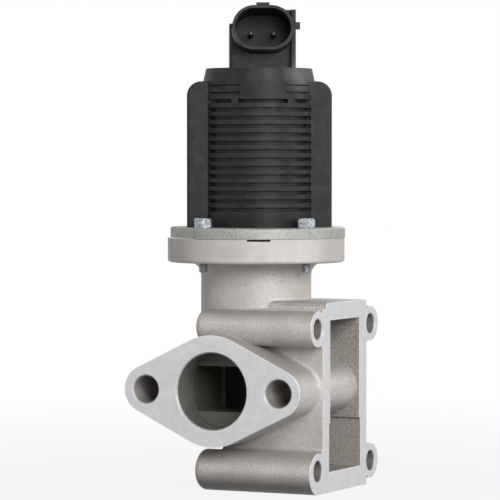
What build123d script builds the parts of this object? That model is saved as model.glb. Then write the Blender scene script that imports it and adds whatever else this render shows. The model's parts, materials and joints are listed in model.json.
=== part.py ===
from build123d import *
import os
from math import cos, radians, sin, tan

os.makedirs("parts", exist_ok=True)

# Lengths are in millimetres and angles in degrees. The origin is the centre of the four
# bolt holes in the manifold face. +X leaves that face, -Y leaves the inlet flange, and
# +Z runs up along the valve stem.

# Clearances
press_gap = 0.02
sliding_gap = 0.05
seal_gap = 0.08
loose_gap = 0.4
bolt_gap = 0.15

# Manifold face, its duct and its four bolt bosses
axis_to_face = 32.5
bolt_span_y = 42.0
bolt_span_z = 46.0
manifold_hole_radius = 3.25
upper_boss_wall = 2.55
lower_boss_wall = 3.4
boss_length = 42.2
boss_end_radius = 2.4
duct_length = 36.1
duct_half_width = 17.4
duct_top = 31.2
duct_bottom = -30.7
duct_edge_radius = 1.0
duct_step_width = 2.9
duct_step_height = 2.1
column_foot_fillet = 1.0
wall_fillet = 1.5
hole_chamfer = 0.45
milling_allowance = 2.0

# Pocket behind the manifold face, stepped where the two halves of its core meet
window_half_width = 11.7
window_top = 25.5
window_bottom = -24.0
core_step_height = -8.0
core_step_width = 0.8
pocket_wall = 2.3
floor_core_depth = 31.5
floor_core_height = 5.5

# Inlet flange with two bolts
inlet_face_distance = 32.6
inlet_shift = -0.4
inlet_height = 2.6
inlet_radius = 12.5
inlet_bore_depth = 11.0
inlet_bolt_span = 48.0
inlet_hole_radius = 4.5
inlet_port_wall = 5.75
inlet_ear_wall = 3.3
inlet_back_distance = 18.4
passage_side_step = 0.1
passage_height = 15.0

# Column and round flange under the actuator
column_radius = 18.35
column_top = 43.8
flange_radius = 29.45
flange_thickness = 8.1
flange_fillet = 4.5
flange_edge_radius = 1.0
notch_width = 7.6
notch_depth = 3.0
notch_height = 0.7
notch_azimuth = 27.5
bolt_azimuth = 24.0
bolt_edge_distance = 5.65

# Gas chambers, seat and poppet valve
valve_shift = 0.95
column_wall = 4.5
seat_top = 17.0
seat_height = 3.5
seat_side_step = 1.0
seat_ledge = 0.5
seat_bore_radius = 9.5
outlet_width = 18.0
outlet_height = 7.0
outlet_rise = 1.4
disc_overlap = 2.0
disc_rim = 1.3
disc_hub_radius = 5.0
disc_hub_height = 3.5
stem_radius = 3.0
stem_end_step = 0.5
stem_nut_height = 2.8
stem_nut_across = 8.0
stem_nut_grip = 0.8
valve_lift = 5.0

# Stem guide
chamber_roof = 30.0
guide_nose_length = 2.8
guide_nose_wall = 3.0
guide_wall = 2.0
guide_floor = 2.5
guide_rim_margin = 1.8
guide_rim_thickness = 3.0
scraper_height = 1.6
bush_length = 7.0
bush_wall = 2.0
seal_height = 3.0
seal_side_step = 1.4
seal_wall = 0.7
shield_sheet = 0.6
shield_side_gap = 1.2
shield_depth = 3.6

# Gasket and mounting plate
gasket_thickness = 0.5
gasket_inset = 1.45
gasket_bore_radius = 12.0
plate_overhang = 0.2
plate_thickness = 3.5
plate_edge_radius = 0.8
plate_flat_distance = 25.3
plate_flat_azimuth = 223.0
plate_bore_radius = 11.0

# Four hex bolts through plate and flange
bolt_radius = 1.5
bolt_head_across = 5.5
bolt_head_height = 3.2
bolt_head_turn = 20.0
bolt_end_length = 3.0
bolt_chamfer = 0.3

# Spring and its seat on the stem
clip_rest_gap = 0.4
clip_thickness = 0.6
clip_width = 1.6
clip_groove_depth = 0.45
clip_opening = 3.0
spring_seat_thickness = 1.5
spring_seat_margin = 0.5
spring_spigot_height = 1.3
spring_wire_radius = 0.6
spring_side_gap = 0.8
spring_turns = 6
spring_pocket_wall = 1.7
spring_pocket_depth = 5.4

# Lift magnet
actuator_azimuth = 27.0
lower_pole_side_gap = 0.8
lower_pole_flange = 3.0
stem_hole_gap = 0.6
armature_radius = 7.9
armature_length = 21.5
armature_rest_gap = 2.0
stem_grip = 17.0
vent_radius = 1.0
stop_pad_gap = 0.2
stop_pad_thickness = 0.8
stop_pad_radius = 6.5
sleeve_wall = 0.55
sleeve_head_gap = 2.7
bobbin_wall = 1.1
bobbin_flange_thickness = 1.8
winding_inset = 0.8
pole_rivet_radius = 5.0
pole_rivet_head = 0.5
yoke_head_gap = 1.3
yoke_side_gap = 0.3
yoke_thickness = 3.2
yoke_bend_radius = 3.2

# Moulded cover with cooling fins, wings, collar and connector tower
cover_radius = 18.6
cover_height = 48.3
cover_wall = 1.9
cover_roof = 1.3
cover_base_band = 5.3
cover_head_band = 6.28
fin_depth = 1.3
fin_root_flat = 2.5
fin_pitch = 2.74
fin_gap = 1.35
side_slot_width = 2.2
side_slot_step = 1.3
pad_width = 15.0
pad_slot_drops = (4.0, 1.3)
pad_slot_gap = 0.8
head_slot_depth = 2.3
head_rib_width = 2.3
head_rib_distance = 9.3
wing_reach = 5.4
wing_depth = 15.0
wing_wall = 1.8
wing_corner_radius = 4.8
wing_edge_radius = 0.9
collar_height = 4.3
collar_top_radius = 17.65
seal_strip_inset = 0.4
seal_strip_width = 1.0
seal_strip_height = 0.6

# Connector tower and socket for a two-pin plug
tower_shift = 1.0
tower_width = 21.8
tower_front = 8.0
tower_back = 10.6
tower_height = 14.7
tower_edge_radius = 1.2
cheek_height = 19.2
cheek_width = 1.4
cheek_reach = 11.0
cheek_block_width = 5.0
socket_tilt = 8.0
socket_mouth_distance = 15.0
socket_mouth_rise = 13.2
socket_width = 20.3
socket_height = 14.8
socket_wall = 0.95
socket_depth = 14.0
socket_back_wall = 1.6
latch_width = 4.3
latch_height = 0.9
latch_length = 6.0
nub_reach = 1.5
nub_height = 2.4
nub_rise = 12.8
pin_radius = 0.8
pin_pitch = 7.5
pin_reach = 5.5
pin_drop = 0.5
pin_tip_radius = 0.5
pin_leg_distance = 8.2
pin_bend_radius = 2.0

# Places that follow from the driving dimensions
column_x = -axis_to_face
column_axis = Axis((column_x, 0, 0), (0, 0, 1))
axis_x = column_x + valve_shift * cos(radians(actuator_azimuth))
axis_y = valve_shift * sin(radians(actuator_azimuth))
valve_axis = Axis((axis_x, axis_y, 0), (0, 0, 1))
flange_top = column_top + flange_thickness
plate_bottom = flange_top
plate_top = plate_bottom + plate_thickness
ear_radius = manifold_hole_radius + upper_boss_wall
lower_boss_radius = manifold_hole_radius + lower_boss_wall
lower_boss_z = duct_bottom + lower_boss_radius
inlet_x = column_x + inlet_shift
inlet_round_radius = inlet_radius + inlet_port_wall
inlet_ear_radius = inlet_hole_radius + inlet_ear_wall
passage_width = 2 * (inlet_radius - passage_side_step)
upper_chamber_radius = column_radius - column_wall
seat_radius = upper_chamber_radius - seat_side_step
lower_chamber_radius = seat_radius - seat_ledge
pocket_depth = -axis_x - upper_chamber_radius - pocket_wall
seat_bottom = seat_top - seat_height
disc_radius = seat_bore_radius + disc_overlap
stem_end_radius = stem_radius - stem_end_step
outlet_bottom = seat_top + outlet_rise
chamber_floor = inlet_height - passage_height / 2
bolt_ring_radius = flange_radius - bolt_edge_distance
bolt_reach = plate_thickness + flange_thickness + bolt_end_length
plate_radius = flange_radius + plate_overhang
gasket_radius = flange_radius - gasket_inset
gasket_flat_distance = plate_flat_distance - gasket_inset
guide_rim_radius = bolt_ring_radius - bolt_radius - valve_shift - guide_rim_margin
bush_radius = stem_radius + bush_wall
seal_radius = bush_radius + seal_side_step
guide_nose_radius = bush_radius + guide_nose_wall
shield_radius = upper_chamber_radius - shield_side_gap
guide_bottom = chamber_roof - guide_nose_length
bush_bottom = guide_bottom + scraper_height
bush_top = bush_bottom + bush_length
guide_boss_top = bush_top + seal_height
guide_rim_top = flange_top - gasket_thickness
disc_hub_top = seat_top + disc_hub_height
clip_bottom = guide_boss_top + clip_rest_gap
clip_radius = stem_radius + clip_width
spring_seat_bottom = clip_bottom + clip_thickness
spring_bottom = spring_seat_bottom + spring_seat_thickness
spring_top = plate_bottom + spring_pocket_depth
spring_pocket_radius = plate_bore_radius - spring_pocket_wall
spring_mean_radius = spring_pocket_radius - spring_side_gap - spring_wire_radius
spring_seat_radius = spring_mean_radius + spring_wire_radius + spring_seat_margin
stem_hole_radius = stem_radius + stem_hole_gap
lower_pole_top = plate_top + lower_pole_flange
armature_bottom = lower_pole_top + armature_rest_gap
armature_top = armature_bottom + armature_length
stem_top = armature_bottom + stem_grip
stop_pad_bottom = armature_top + valve_lift + stop_pad_gap
upper_pole_bottom = stop_pad_bottom + stop_pad_thickness
sleeve_bore_radius = armature_radius + sliding_gap
sleeve_radius = sleeve_bore_radius + sleeve_wall
bobbin_tube_radius = sleeve_radius + press_gap + bobbin_wall
fin_root_radius = cover_radius - fin_depth
fin_root_half_width = fin_root_radius - fin_root_flat
wing_span = 2 * (cover_radius + wing_reach)
side_slot_middle = fin_root_half_width + side_slot_width / 2
cover_bore_radius = fin_root_radius - cover_wall
lower_pole_radius = cover_bore_radius - lower_pole_side_gap
bobbin_flange_radius = cover_bore_radius - loose_gap
winding_radius = bobbin_flange_radius - winding_inset
cover_top = plate_top + cover_height
cavity_top = cover_top - cover_roof
yoke_top = cavity_top - yoke_head_gap
yoke_span = wing_span - 2 * (wing_wall + loose_gap)
yoke_width = wing_depth - 2 * (wing_wall + yoke_side_gap)
bobbin_top = yoke_top - yoke_thickness
bobbin_length = bobbin_top - lower_pole_top
sleeve_length = bobbin_length - sleeve_head_gap
collar_top = cover_top + collar_height
tower_shoulder = collar_top + tower_height
cheek_top = collar_top + cheek_height
socket_mouth_height = collar_top + socket_mouth_rise
nub_bottom = collar_top + nub_rise

# The actuator is turned about the stem: its own axes are across, back and up
across = (cos(radians(actuator_azimuth)), sin(radians(actuator_azimuth)), 0)
front = (sin(radians(actuator_azimuth)), -cos(radians(actuator_azimuth)), 0)


def level(height):
    """A horizontal plane centred on the valve axis."""
    return Plane(origin=(axis_x, axis_y, height))


def actuator_level(height):
    """The same, turned with the actuator: x runs across it and y to its back."""
    return Plane(origin=(axis_x, axis_y, height), x_dir=across, z_dir=(0, 0, 1))


def flange_level(height):
    """A horizontal plane centred on the column, turned with the bolts of the round flange."""
    turn = radians(bolt_azimuth)
    return Plane(origin=(column_x, 0, height), x_dir=(cos(turn), sin(turn), 0), z_dir=(0, 0, 1))


def actuator_point(sideways, forward, height):
    """A point given in the actuator's own directions."""
    return (
        axis_x + sideways * across[0] + forward * front[0],
        axis_y + sideways * across[1] + forward * front[1],
        height,
    )


# Half sections of turned pieces: x is the radius, y the height
half_section = Plane(origin=(axis_x, axis_y, 0), x_dir=(1, 0, 0), z_dir=(0, -1, 0))
column_section = Plane(origin=(column_x, 0, 0), x_dir=(1, 0, 0), z_dir=(0, -1, 0))
# The actuator seen from its front: x runs across it and y up
actuator_elevation = Plane(origin=(axis_x, axis_y, 0), x_dir=across, z_dir=front)


def inlet_plane(distance):
    """A plane across the inlet, that far in front of the column axis, centred on the port."""
    return Plane(origin=(inlet_x, -distance, inlet_height), x_dir=(1, 0, 0), z_dir=(0, -1, 0))


def duct_plane(x):
    """A plane across the duct: its x is the part's Y and its y the part's Z."""
    return Plane(origin=(x, 0, 0), x_dir=(0, 1, 0), z_dir=(1, 0, 0))


manifold_bolts = [
    (side * bolt_span_y / 2, end * bolt_span_z / 2) for side in (-1, 1) for end in (-1, 1)
]


def boss_circles():
    """The round bosses of the manifold bolts, across the duct. The near lower one is stouter."""
    with Locations(*manifold_bolts):
        Circle(ear_radius)
    with Locations((-bolt_span_y / 2, lower_boss_z)):
        Circle(lower_boss_radius)


def bolt_places():
    """The four places of the actuator's bolts, in a sketch on a flange level."""
    return PolarLocations(bolt_ring_radius, 4, start_angle=45)


def plate_outline(radius, flat_distance):
    """A disc with one flat at its left, in a sketch on a flange level."""
    turn = plate_flat_azimuth - bolt_azimuth
    middle = flat_distance - radius
    Circle(radius)
    with Locations((middle * cos(radians(turn)), middle * sin(radians(turn)))):
        Rectangle(2 * radius, 2 * radius, rotation=turn, mode=Mode.INTERSECT)


def inlet_outline():
    """The diamond of the inlet flange: a round centre and two round ears."""
    with Locations((-inlet_bolt_span / 2, 0), (inlet_bolt_span / 2, 0)):
        Circle(inlet_ear_radius)
    Circle(inlet_round_radius)
    make_hull()


def is_wall_corner(corner):
    """True where a boss meets a side wall of the duct, in a sketch across it."""
    return abs(abs(corner.X) - duct_half_width) < press_gap and abs(corner.Y) < bolt_span_z / 2


def is_upright(edge):
    """True for a straight edge that runs along X or Z."""
    along = edge % 0.5
    return edge.geom_type == GeomType.LINE and max(abs(along.X), abs(along.Z)) > 0.999


def is_on_inlet(edge):
    """True for an edge that lies on the diamond's right flank or its ear."""
    return edge.center().X > inlet_x + inlet_round_radius / 2


def rims(piece, axis, place, radius):
    """The round edges of that radius that lie at one place along an axis."""
    edges = piece.edges().filter_by(GeomType.CIRCLE)
    edges = edges.filter_by_position(axis, place - press_gap, place + press_gap)
    return edges.filter_by(lambda edge: abs(edge.radius - radius) < press_gap)


# Four long bolt bosses of the casting, with rounded left ends
with BuildPart() as bolt_bosses:
    with BuildSketch(duct_plane(-boss_length)):
        boss_circles()
    extrude(amount=boss_length + milling_allowance)
    fillet(bolt_bosses.edges().group_by(Axis.X)[0], boss_end_radius)

# Valve body: one aluminium casting, then milled, bored and drilled
with BuildPart() as valve_body:
    # Duct behind the manifold face
    with BuildSketch(duct_plane(-duct_length)) as duct_outline:
        with Locations((0, (duct_top + duct_bottom) / 2)):
            Rectangle(2 * duct_half_width, duct_top - duct_bottom)
        with Locations((-duct_half_width, duct_top)):
            Rectangle(2 * duct_step_width, 2 * duct_step_height, mode=Mode.SUBTRACT)
        fillet(duct_outline.vertices().group_by(Axis.Y)[-1], duct_edge_radius)
    extrude(amount=duct_length + milling_allowance)
    # Cored pocket with its parting step, and the deeper core along its floor
    with BuildSketch(duct_plane(-pocket_depth)):
        with Locations((0, core_step_height)):
            Rectangle(
                2 * window_half_width,
                window_top - core_step_height,
                align=(Align.CENTER, Align.MIN),
            )
            Rectangle(
                2 * (window_half_width + core_step_width),
                core_step_height - window_bottom,
                align=(Align.CENTER, Align.MAX),
            )
    extrude(amount=pocket_depth + milling_allowance, mode=Mode.SUBTRACT)
    with BuildSketch(duct_plane(-floor_core_depth)):
        with Locations((0, window_bottom)):
            Rectangle(
                2 * (window_half_width + core_step_width),
                floor_core_height,
                align=(Align.CENTER, Align.MIN),
            )
    extrude(amount=floor_core_depth, mode=Mode.SUBTRACT)
    # Inlet body: the diamond runs from the flange face right through to the back
    with BuildSketch(inlet_plane(inlet_face_distance)):
        inlet_outline()
    extrude(amount=-(inlet_face_distance + inlet_back_distance))
    # Cast fillets where the diamond leaves the near wall
    near_wall_edges = valve_body.edges().filter_by_position(
        Axis.Y, -duct_half_width - press_gap, -duct_half_width + press_gap
    )
    fillet(
        [edge for edge in near_wall_edges if not is_upright(edge) and is_on_inlet(edge)],
        wall_fillet,
    )
    # Bolt bosses, with filled corners where they meet the duct's side walls
    add(bolt_bosses.part)
    with BuildSketch(duct_plane(-duct_length)) as corner_filling:
        boss_circles()
        with Locations((0, duct_bottom)):
            Rectangle(bolt_span_y / 2, lower_boss_radius, align=(Align.MAX, Align.MIN))
            Rectangle(
                2 * duct_half_width, duct_top - duct_bottom, align=(Align.CENTER, Align.MIN)
            )
        fillet([c for c in corner_filling.vertices() if is_wall_corner(c)], wall_fillet)
        with Locations((0, duct_bottom)):
            Rectangle(
                2 * duct_half_width,
                duct_top - duct_bottom,
                align=(Align.CENTER, Align.MIN),
                mode=Mode.SUBTRACT,
            )
    extrude(amount=duct_length + milling_allowance)
    # Column and round flange
    with BuildSketch(column_section) as column_profile:
        with BuildLine():
            Polyline(
                (0, inlet_height),
                (column_radius, inlet_height),
                (column_radius, column_top - flange_fillet),
            )
            RadiusArc(
                (column_radius, column_top - flange_fillet),
                (column_radius + flange_fillet, column_top),
                flange_fillet,
            )
            Polyline(
                (column_radius + flange_fillet, column_top),
                (flange_radius, column_top),
                (flange_radius, flange_top),
                (0, flange_top),
                (0, inlet_height),
            )
        make_face()
        rim_corners = column_profile.vertices().group_by(Axis.X)[-1]
        fillet(rim_corners.sort_by(Axis.Y)[0], flange_edge_radius)
    revolve(axis=column_axis)
    fillet(rims(valve_body, Axis.Z, duct_top, column_radius), column_foot_fillet)
    # Manifold face milled flat
    split(bisect_by=Plane.YZ, keep=Keep.BOTTOM)
    # Lower chamber, seat bore, upper chamber and the recesses in the round flange
    with BuildSketch(level(chamber_floor)):
        Circle(lower_chamber_radius)
    extrude(amount=flange_top - chamber_floor, mode=Mode.SUBTRACT)
    with BuildSketch(level(seat_bottom)):
        Circle(seat_radius)
    extrude(amount=flange_top - seat_bottom, mode=Mode.SUBTRACT)
    with BuildSketch(level(seat_top)):
        Circle(upper_chamber_radius)
    extrude(amount=flange_top - seat_top, mode=Mode.SUBTRACT)
    with BuildSketch(level(guide_rim_top - guide_rim_thickness)):
        Circle(guide_rim_radius + press_gap)
    extrude(amount=guide_rim_thickness + gasket_thickness, mode=Mode.SUBTRACT)
    with BuildSketch(flange_level(guide_rim_top)):
        plate_outline(gasket_radius + press_gap, gasket_flat_distance + press_gap)
    extrude(amount=gasket_thickness, mode=Mode.SUBTRACT)
    # Notch in the rim, through which the gasket shows
    notch_plane = Plane(
        origin=(column_x, 0, flange_top - notch_height),
        x_dir=(cos(radians(notch_azimuth)), sin(radians(notch_azimuth)), 0),
    )
    with BuildSketch(notch_plane):
        with Locations((0, -flange_radius)):
            Rectangle(notch_width, 2 * notch_depth)
    extrude(amount=notch_height, mode=Mode.SUBTRACT)
    # Inlet bore, then a flat passage into the lower chamber
    with BuildSketch(inlet_plane(inlet_face_distance)):
        Circle(inlet_radius)
    extrude(amount=-inlet_bore_depth, mode=Mode.SUBTRACT)
    with BuildSketch(inlet_plane(inlet_face_distance - inlet_bore_depth)):
        Rectangle(passage_width, passage_height)
    extrude(amount=-(inlet_face_distance - inlet_bore_depth), mode=Mode.SUBTRACT)
    # Outlet from the upper chamber into the pocket
    with BuildSketch(duct_plane(axis_x)):
        with Locations((0, outlet_bottom + outlet_height / 2)):
            SlotOverall(outlet_width, outlet_height)
    extrude(amount=axis_to_face - pocket_depth, mode=Mode.SUBTRACT)
    # Bolt holes of the manifold face, the inlet flange and the round flange
    with BuildSketch(duct_plane(-boss_length)):
        with Locations(*manifold_bolts):
            Circle(manifold_hole_radius)
    extrude(amount=boss_length, mode=Mode.SUBTRACT)
    with BuildSketch(inlet_plane(inlet_face_distance)):
        with Locations((-inlet_bolt_span / 2, 0), (inlet_bolt_span / 2, 0)):
            Circle(inlet_hole_radius)
    extrude(amount=-(inlet_face_distance + inlet_back_distance), mode=Mode.SUBTRACT)
    with BuildSketch(flange_level(column_top - flange_fillet)):
        with bolt_places():
            Circle(bolt_radius + press_gap)
    extrude(amount=flange_thickness + flange_fillet, mode=Mode.SUBTRACT)
    # Machined chamfers at the mouths of the port and of the bolt holes
    chamfer(rims(valve_body, Axis.X, 0, manifold_hole_radius), hole_chamfer)
    chamfer(rims(valve_body, Axis.Y, -inlet_face_distance, inlet_hole_radius), hole_chamfer)
    chamfer(rims(valve_body, Axis.Y, -inlet_face_distance, inlet_radius), hole_chamfer)
valve_body.part.label = "valve_body"
export_step(valve_body.part, "parts/valve_body.step")

# Seat ring, pressed in from above onto the shoulder over the lower chamber
with BuildPart() as valve_seat:
    with BuildSketch(level(seat_bottom)):
        Circle(seat_radius - press_gap)
        Circle(seat_bore_radius, mode=Mode.SUBTRACT)
    extrude(amount=seat_height)
    chamfer(valve_seat.edges().group_by(Axis.Z)[0].sort_by(SortBy.RADIUS)[0], seat_height / 4)
valve_seat.part.label = "valve_seat"
export_step(valve_seat.part, "parts/valve_seat.step")

# Poppet disc with a flat sealing face and a hub that takes the end of the stem
with BuildPart() as valve_disc:
    with BuildSketch(half_section):
        with BuildLine():
            Polyline(
                (stem_end_radius + press_gap, seat_top),
                (disc_radius, seat_top),
                (disc_radius, seat_top + disc_rim),
            )
            ThreePointArc(
                (disc_radius, seat_top + disc_rim),
                (
                    (disc_radius + disc_hub_radius) / 2 - disc_rim,
                    seat_top + disc_rim + (disc_hub_height - disc_rim) / 4,
                ),
                (disc_hub_radius, disc_hub_top),
            )
            Polyline(
                (disc_hub_radius, disc_hub_top),
                (stem_end_radius + press_gap, disc_hub_top),
                (stem_end_radius + press_gap, seat_top),
            )
        make_face()
    revolve(axis=valve_axis)
valve_disc.part.label = "valve_disc"
export_step(valve_disc.part, "parts/valve_disc.step")

# Hex nut that holds the disc on the stem
with BuildPart() as stem_nut:
    with BuildSketch(level(seat_top - stem_nut_height)):
        RegularPolygon(stem_nut_across / 2, 6, major_radius=False)
        Circle(stem_end_radius + press_gap, mode=Mode.SUBTRACT)
    extrude(amount=stem_nut_height)
stem_nut.part.label = "stem_nut"
export_step(stem_nut.part, "parts/stem_nut.step")

# Stem: a reduced end through disc and nut, a groove for the clip, a head in the armature
with BuildPart() as valve_stem:
    with BuildSketch(level(seat_top - stem_nut_height - stem_nut_grip)):
        Circle(stem_end_radius)
    extrude(amount=disc_hub_height + stem_nut_height + stem_nut_grip)
    with BuildSketch(level(disc_hub_top)):
        Circle(stem_radius)
    extrude(amount=stem_top - disc_hub_top)
    with BuildSketch(level(clip_bottom)):
        Circle(stem_radius + clip_groove_depth)
        Circle(stem_radius - clip_groove_depth, mode=Mode.SUBTRACT)
    extrude(amount=clip_thickness, mode=Mode.SUBTRACT)
    chamfer(valve_stem.edges().group_by(Axis.Z)[0], clip_groove_depth)
    chamfer(valve_stem.edges().group_by(Axis.Z)[-1], clip_groove_depth)
valve_stem.part.label = "valve_stem"
export_step(valve_stem.part, "parts/valve_stem.step")

# Guide bush, the scraper ring below it and the lip seal above it
with BuildPart() as stem_scraper:
    with BuildSketch(level(guide_bottom)):
        Circle(bush_radius)
        Circle(stem_radius + seal_gap, mode=Mode.SUBTRACT)
    extrude(amount=scraper_height)
    chamfer(stem_scraper.edges().group_by(Axis.Z)[0].sort_by(SortBy.RADIUS)[-1], scraper_height / 4)
stem_scraper.part.label = "stem_scraper"
export_step(stem_scraper.part, "parts/stem_scraper.step")

with BuildPart() as guide_bush:
    with BuildSketch(level(bush_bottom)):
        Circle(bush_radius)
        Circle(stem_radius + sliding_gap, mode=Mode.SUBTRACT)
    extrude(amount=bush_length)
guide_bush.part.label = "guide_bush"
export_step(guide_bush.part, "parts/guide_bush.step")

with BuildPart() as stem_seal:
    with BuildSketch(level(bush_top)):
        Circle(seal_radius)
        Circle(stem_radius + seal_gap, mode=Mode.SUBTRACT)
    extrude(amount=seal_height)
    # Open groove that lets the inner lip press on the stem
    with BuildSketch(level(bush_top + seal_wall)):
        Circle(seal_radius - seal_wall)
        Circle(stem_radius + seal_gap + seal_wall, mode=Mode.SUBTRACT)
    extrude(amount=seal_height - seal_wall, mode=Mode.SUBTRACT)
stem_seal.part.label = "stem_seal"
export_step(stem_seal.part, "parts/stem_seal.step")

# Guide housing: a cup that hangs in the column by its rim and carries the guide
guide_cup_radius = upper_chamber_radius - loose_gap
guide_boss_radius = seal_radius + guide_wall
with BuildPart() as guide_housing:
    with BuildSketch(half_section):
        with BuildLine():
            Polyline(
                (bush_radius + press_gap, guide_bottom),
                (guide_nose_radius, guide_bottom),
                (guide_nose_radius, chamber_roof),
                (guide_cup_radius, chamber_roof),
                (guide_cup_radius, guide_rim_top - guide_rim_thickness),
                (guide_rim_radius, guide_rim_top - guide_rim_thickness),
                (guide_rim_radius, guide_rim_top),
                (guide_cup_radius - guide_wall, guide_rim_top),
                (guide_cup_radius - guide_wall, chamber_roof + guide_floor),
                (guide_boss_radius, chamber_roof + guide_floor),
                (guide_boss_radius, guide_boss_top),
                (seal_radius + press_gap, guide_boss_top),
                (seal_radius + press_gap, bush_top),
                (bush_radius + press_gap, bush_top),
                (bush_radius + press_gap, guide_bottom),
            )
        make_face()
    revolve(axis=valve_axis)
guide_housing.part.label = "guide_housing"
export_step(guide_housing.part, "parts/guide_housing.step")

# Heat shield: a thin cup under the guide housing that keeps hot gas off it
with BuildPart() as heat_shield:
    with BuildSketch(level(chamber_roof - shield_depth)):
        Circle(shield_radius)
        Circle(shield_radius - shield_sheet, mode=Mode.SUBTRACT)
    extrude(amount=shield_depth)
    with BuildSketch(level(chamber_roof - shield_sheet)):
        Circle(shield_radius)
        Circle(guide_nose_radius + press_gap, mode=Mode.SUBTRACT)
    extrude(amount=shield_sheet)
heat_shield.part.label = "heat_shield"
export_step(heat_shield.part, "parts/heat_shield.step")

# Gasket in the shallow recess of the round flange
with BuildPart() as flange_gasket:
    with BuildSketch(flange_level(guide_rim_top)):
        plate_outline(gasket_radius, gasket_flat_distance)
        with bolt_places():
            Circle(bolt_radius + bolt_gap, mode=Mode.SUBTRACT)
    extrude(amount=gasket_thickness)
    with BuildSketch(level(guide_rim_top)):
        Circle(gasket_bore_radius)
    extrude(amount=gasket_thickness, mode=Mode.SUBTRACT)
flange_gasket.part.label = "flange_gasket"
export_step(flange_gasket.part, "parts/flange_gasket.step")


def cover_bore_outline(grow):
    """The inside outline of the cover at its foot, made wider by a distance."""
    Circle(cover_bore_radius + grow)
    Rectangle(wing_span - 2 * wing_wall + 2 * grow, wing_depth - 2 * wing_wall + 2 * grow)


# Cover seal: a strip that follows the foot of the cover in a groove of the plate
with BuildPart() as cover_seal:
    with BuildSketch(actuator_level(plate_top - seal_strip_height)) as seal_outline:
        cover_bore_outline(seal_strip_inset + seal_strip_width)
    with BuildSketch(actuator_level(plate_top - seal_strip_height)) as seal_inside:
        cover_bore_outline(seal_strip_inset)
    extrude(seal_outline.sketch, amount=seal_strip_height)
    extrude(seal_inside.sketch, amount=seal_strip_height, mode=Mode.SUBTRACT)
cover_seal.part.label = "cover_seal"
export_step(cover_seal.part, "parts/cover_seal.step")

# Mounting plate of zinc-plated steel under the lift magnet
with BuildPart() as mounting_plate:
    with BuildSketch(flange_level(plate_bottom)):
        plate_outline(plate_radius, plate_flat_distance)
    extrude(amount=plate_thickness)
    fillet(mounting_plate.edges().group_by(Axis.Z)[-1], plate_edge_radius)
    with BuildSketch(level(plate_bottom)):
        Circle(plate_bore_radius)
    extrude(amount=plate_thickness, mode=Mode.SUBTRACT)
    with BuildSketch(flange_level(plate_bottom)):
        with bolt_places():
            Circle(bolt_radius + bolt_gap)
    extrude(amount=plate_thickness, mode=Mode.SUBTRACT)
    add(cover_seal.part, mode=Mode.SUBTRACT)
mounting_plate.part.label = "mounting_plate"
export_step(mounting_plate.part, "parts/mounting_plate.step")

# Four hex bolts, with ends that show under the round flange
with BuildPart() as housing_bolts:
    with BuildSketch(flange_level(plate_top)):
        with bolt_places():
            RegularPolygon(bolt_head_across / 2, 6, major_radius=False, rotation=bolt_head_turn)
    extrude(amount=bolt_head_height)
    with BuildSketch(flange_level(plate_top - bolt_reach)):
        with bolt_places():
            Circle(bolt_radius)
    extrude(amount=bolt_reach)
    chamfer(housing_bolts.edges().group_by(Axis.Z)[0], bolt_chamfer)
    chamfer(housing_bolts.edges().group_by(Axis.Z)[-1], bolt_chamfer)
housing_bolts.part.label = "housing_bolts"
export_step(housing_bolts.part, "parts/housing_bolts.step")

# Retaining clip in the groove of the stem, under the spring seat
with BuildPart() as spring_clip:
    with BuildSketch(level(clip_bottom)):
        Circle(clip_radius)
        Circle(stem_radius - clip_groove_depth + press_gap, mode=Mode.SUBTRACT)
        Rectangle(
            2 * clip_radius,
            clip_opening,
            align=(Align.MIN, Align.CENTER),
            mode=Mode.SUBTRACT,
        )
    extrude(amount=clip_thickness)
spring_clip.part.label = "spring_clip"
export_step(spring_clip.part, "parts/spring_clip.step")

# Spring seat: a washer with a low spigot that centres the spring
with BuildPart() as spring_seat:
    with BuildSketch(level(spring_seat_bottom)):
        Circle(spring_seat_radius)
    extrude(amount=spring_seat_thickness)
    with BuildSketch(level(spring_bottom)):
        Circle(spring_mean_radius - spring_wire_radius - loose_gap)
    extrude(amount=spring_spigot_height)
    with BuildSketch(level(spring_seat_bottom)):
        Circle(stem_radius + press_gap)
    extrude(amount=spring_seat_thickness + spring_spigot_height, mode=Mode.SUBTRACT)
spring_seat.part.label = "spring_seat"
export_step(spring_seat.part, "parts/spring_seat.step")

# Closing spring between the spring seat and the lower pole
spring_rise = spring_top - spring_bottom - 2 * spring_wire_radius
with BuildPart() as return_spring:
    with BuildLine() as spring_line:
        Helix(
            pitch=spring_rise / spring_turns,
            height=spring_rise,
            radius=spring_mean_radius,
            center=(axis_x, axis_y, spring_bottom + spring_wire_radius),
        )
    with BuildSketch(Plane(origin=spring_line.line @ 0, z_dir=spring_line.line % 0)):
        Circle(spring_wire_radius)
    sweep(is_frenet=True)
return_spring.part.label = "return_spring"
export_step(return_spring.part, "parts/return_spring.step")

# Lower pole: a flanged iron ring whose spigot centres it in the plate
with BuildPart() as lower_pole:
    with BuildSketch(level(plate_bottom)):
        Circle(plate_bore_radius - press_gap)
    extrude(amount=plate_thickness)
    with BuildSketch(level(plate_top)):
        Circle(lower_pole_radius)
    extrude(amount=lower_pole_flange)
    with BuildSketch(level(plate_bottom)):
        Circle(spring_pocket_radius)
    extrude(amount=spring_pocket_depth, mode=Mode.SUBTRACT)
    with BuildSketch(level(plate_bottom)):
        Circle(stem_hole_radius)
    extrude(amount=plate_thickness + lower_pole_flange, mode=Mode.SUBTRACT)
lower_pole.part.label = "lower_pole"
export_step(lower_pole.part, "parts/lower_pole.step")

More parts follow.
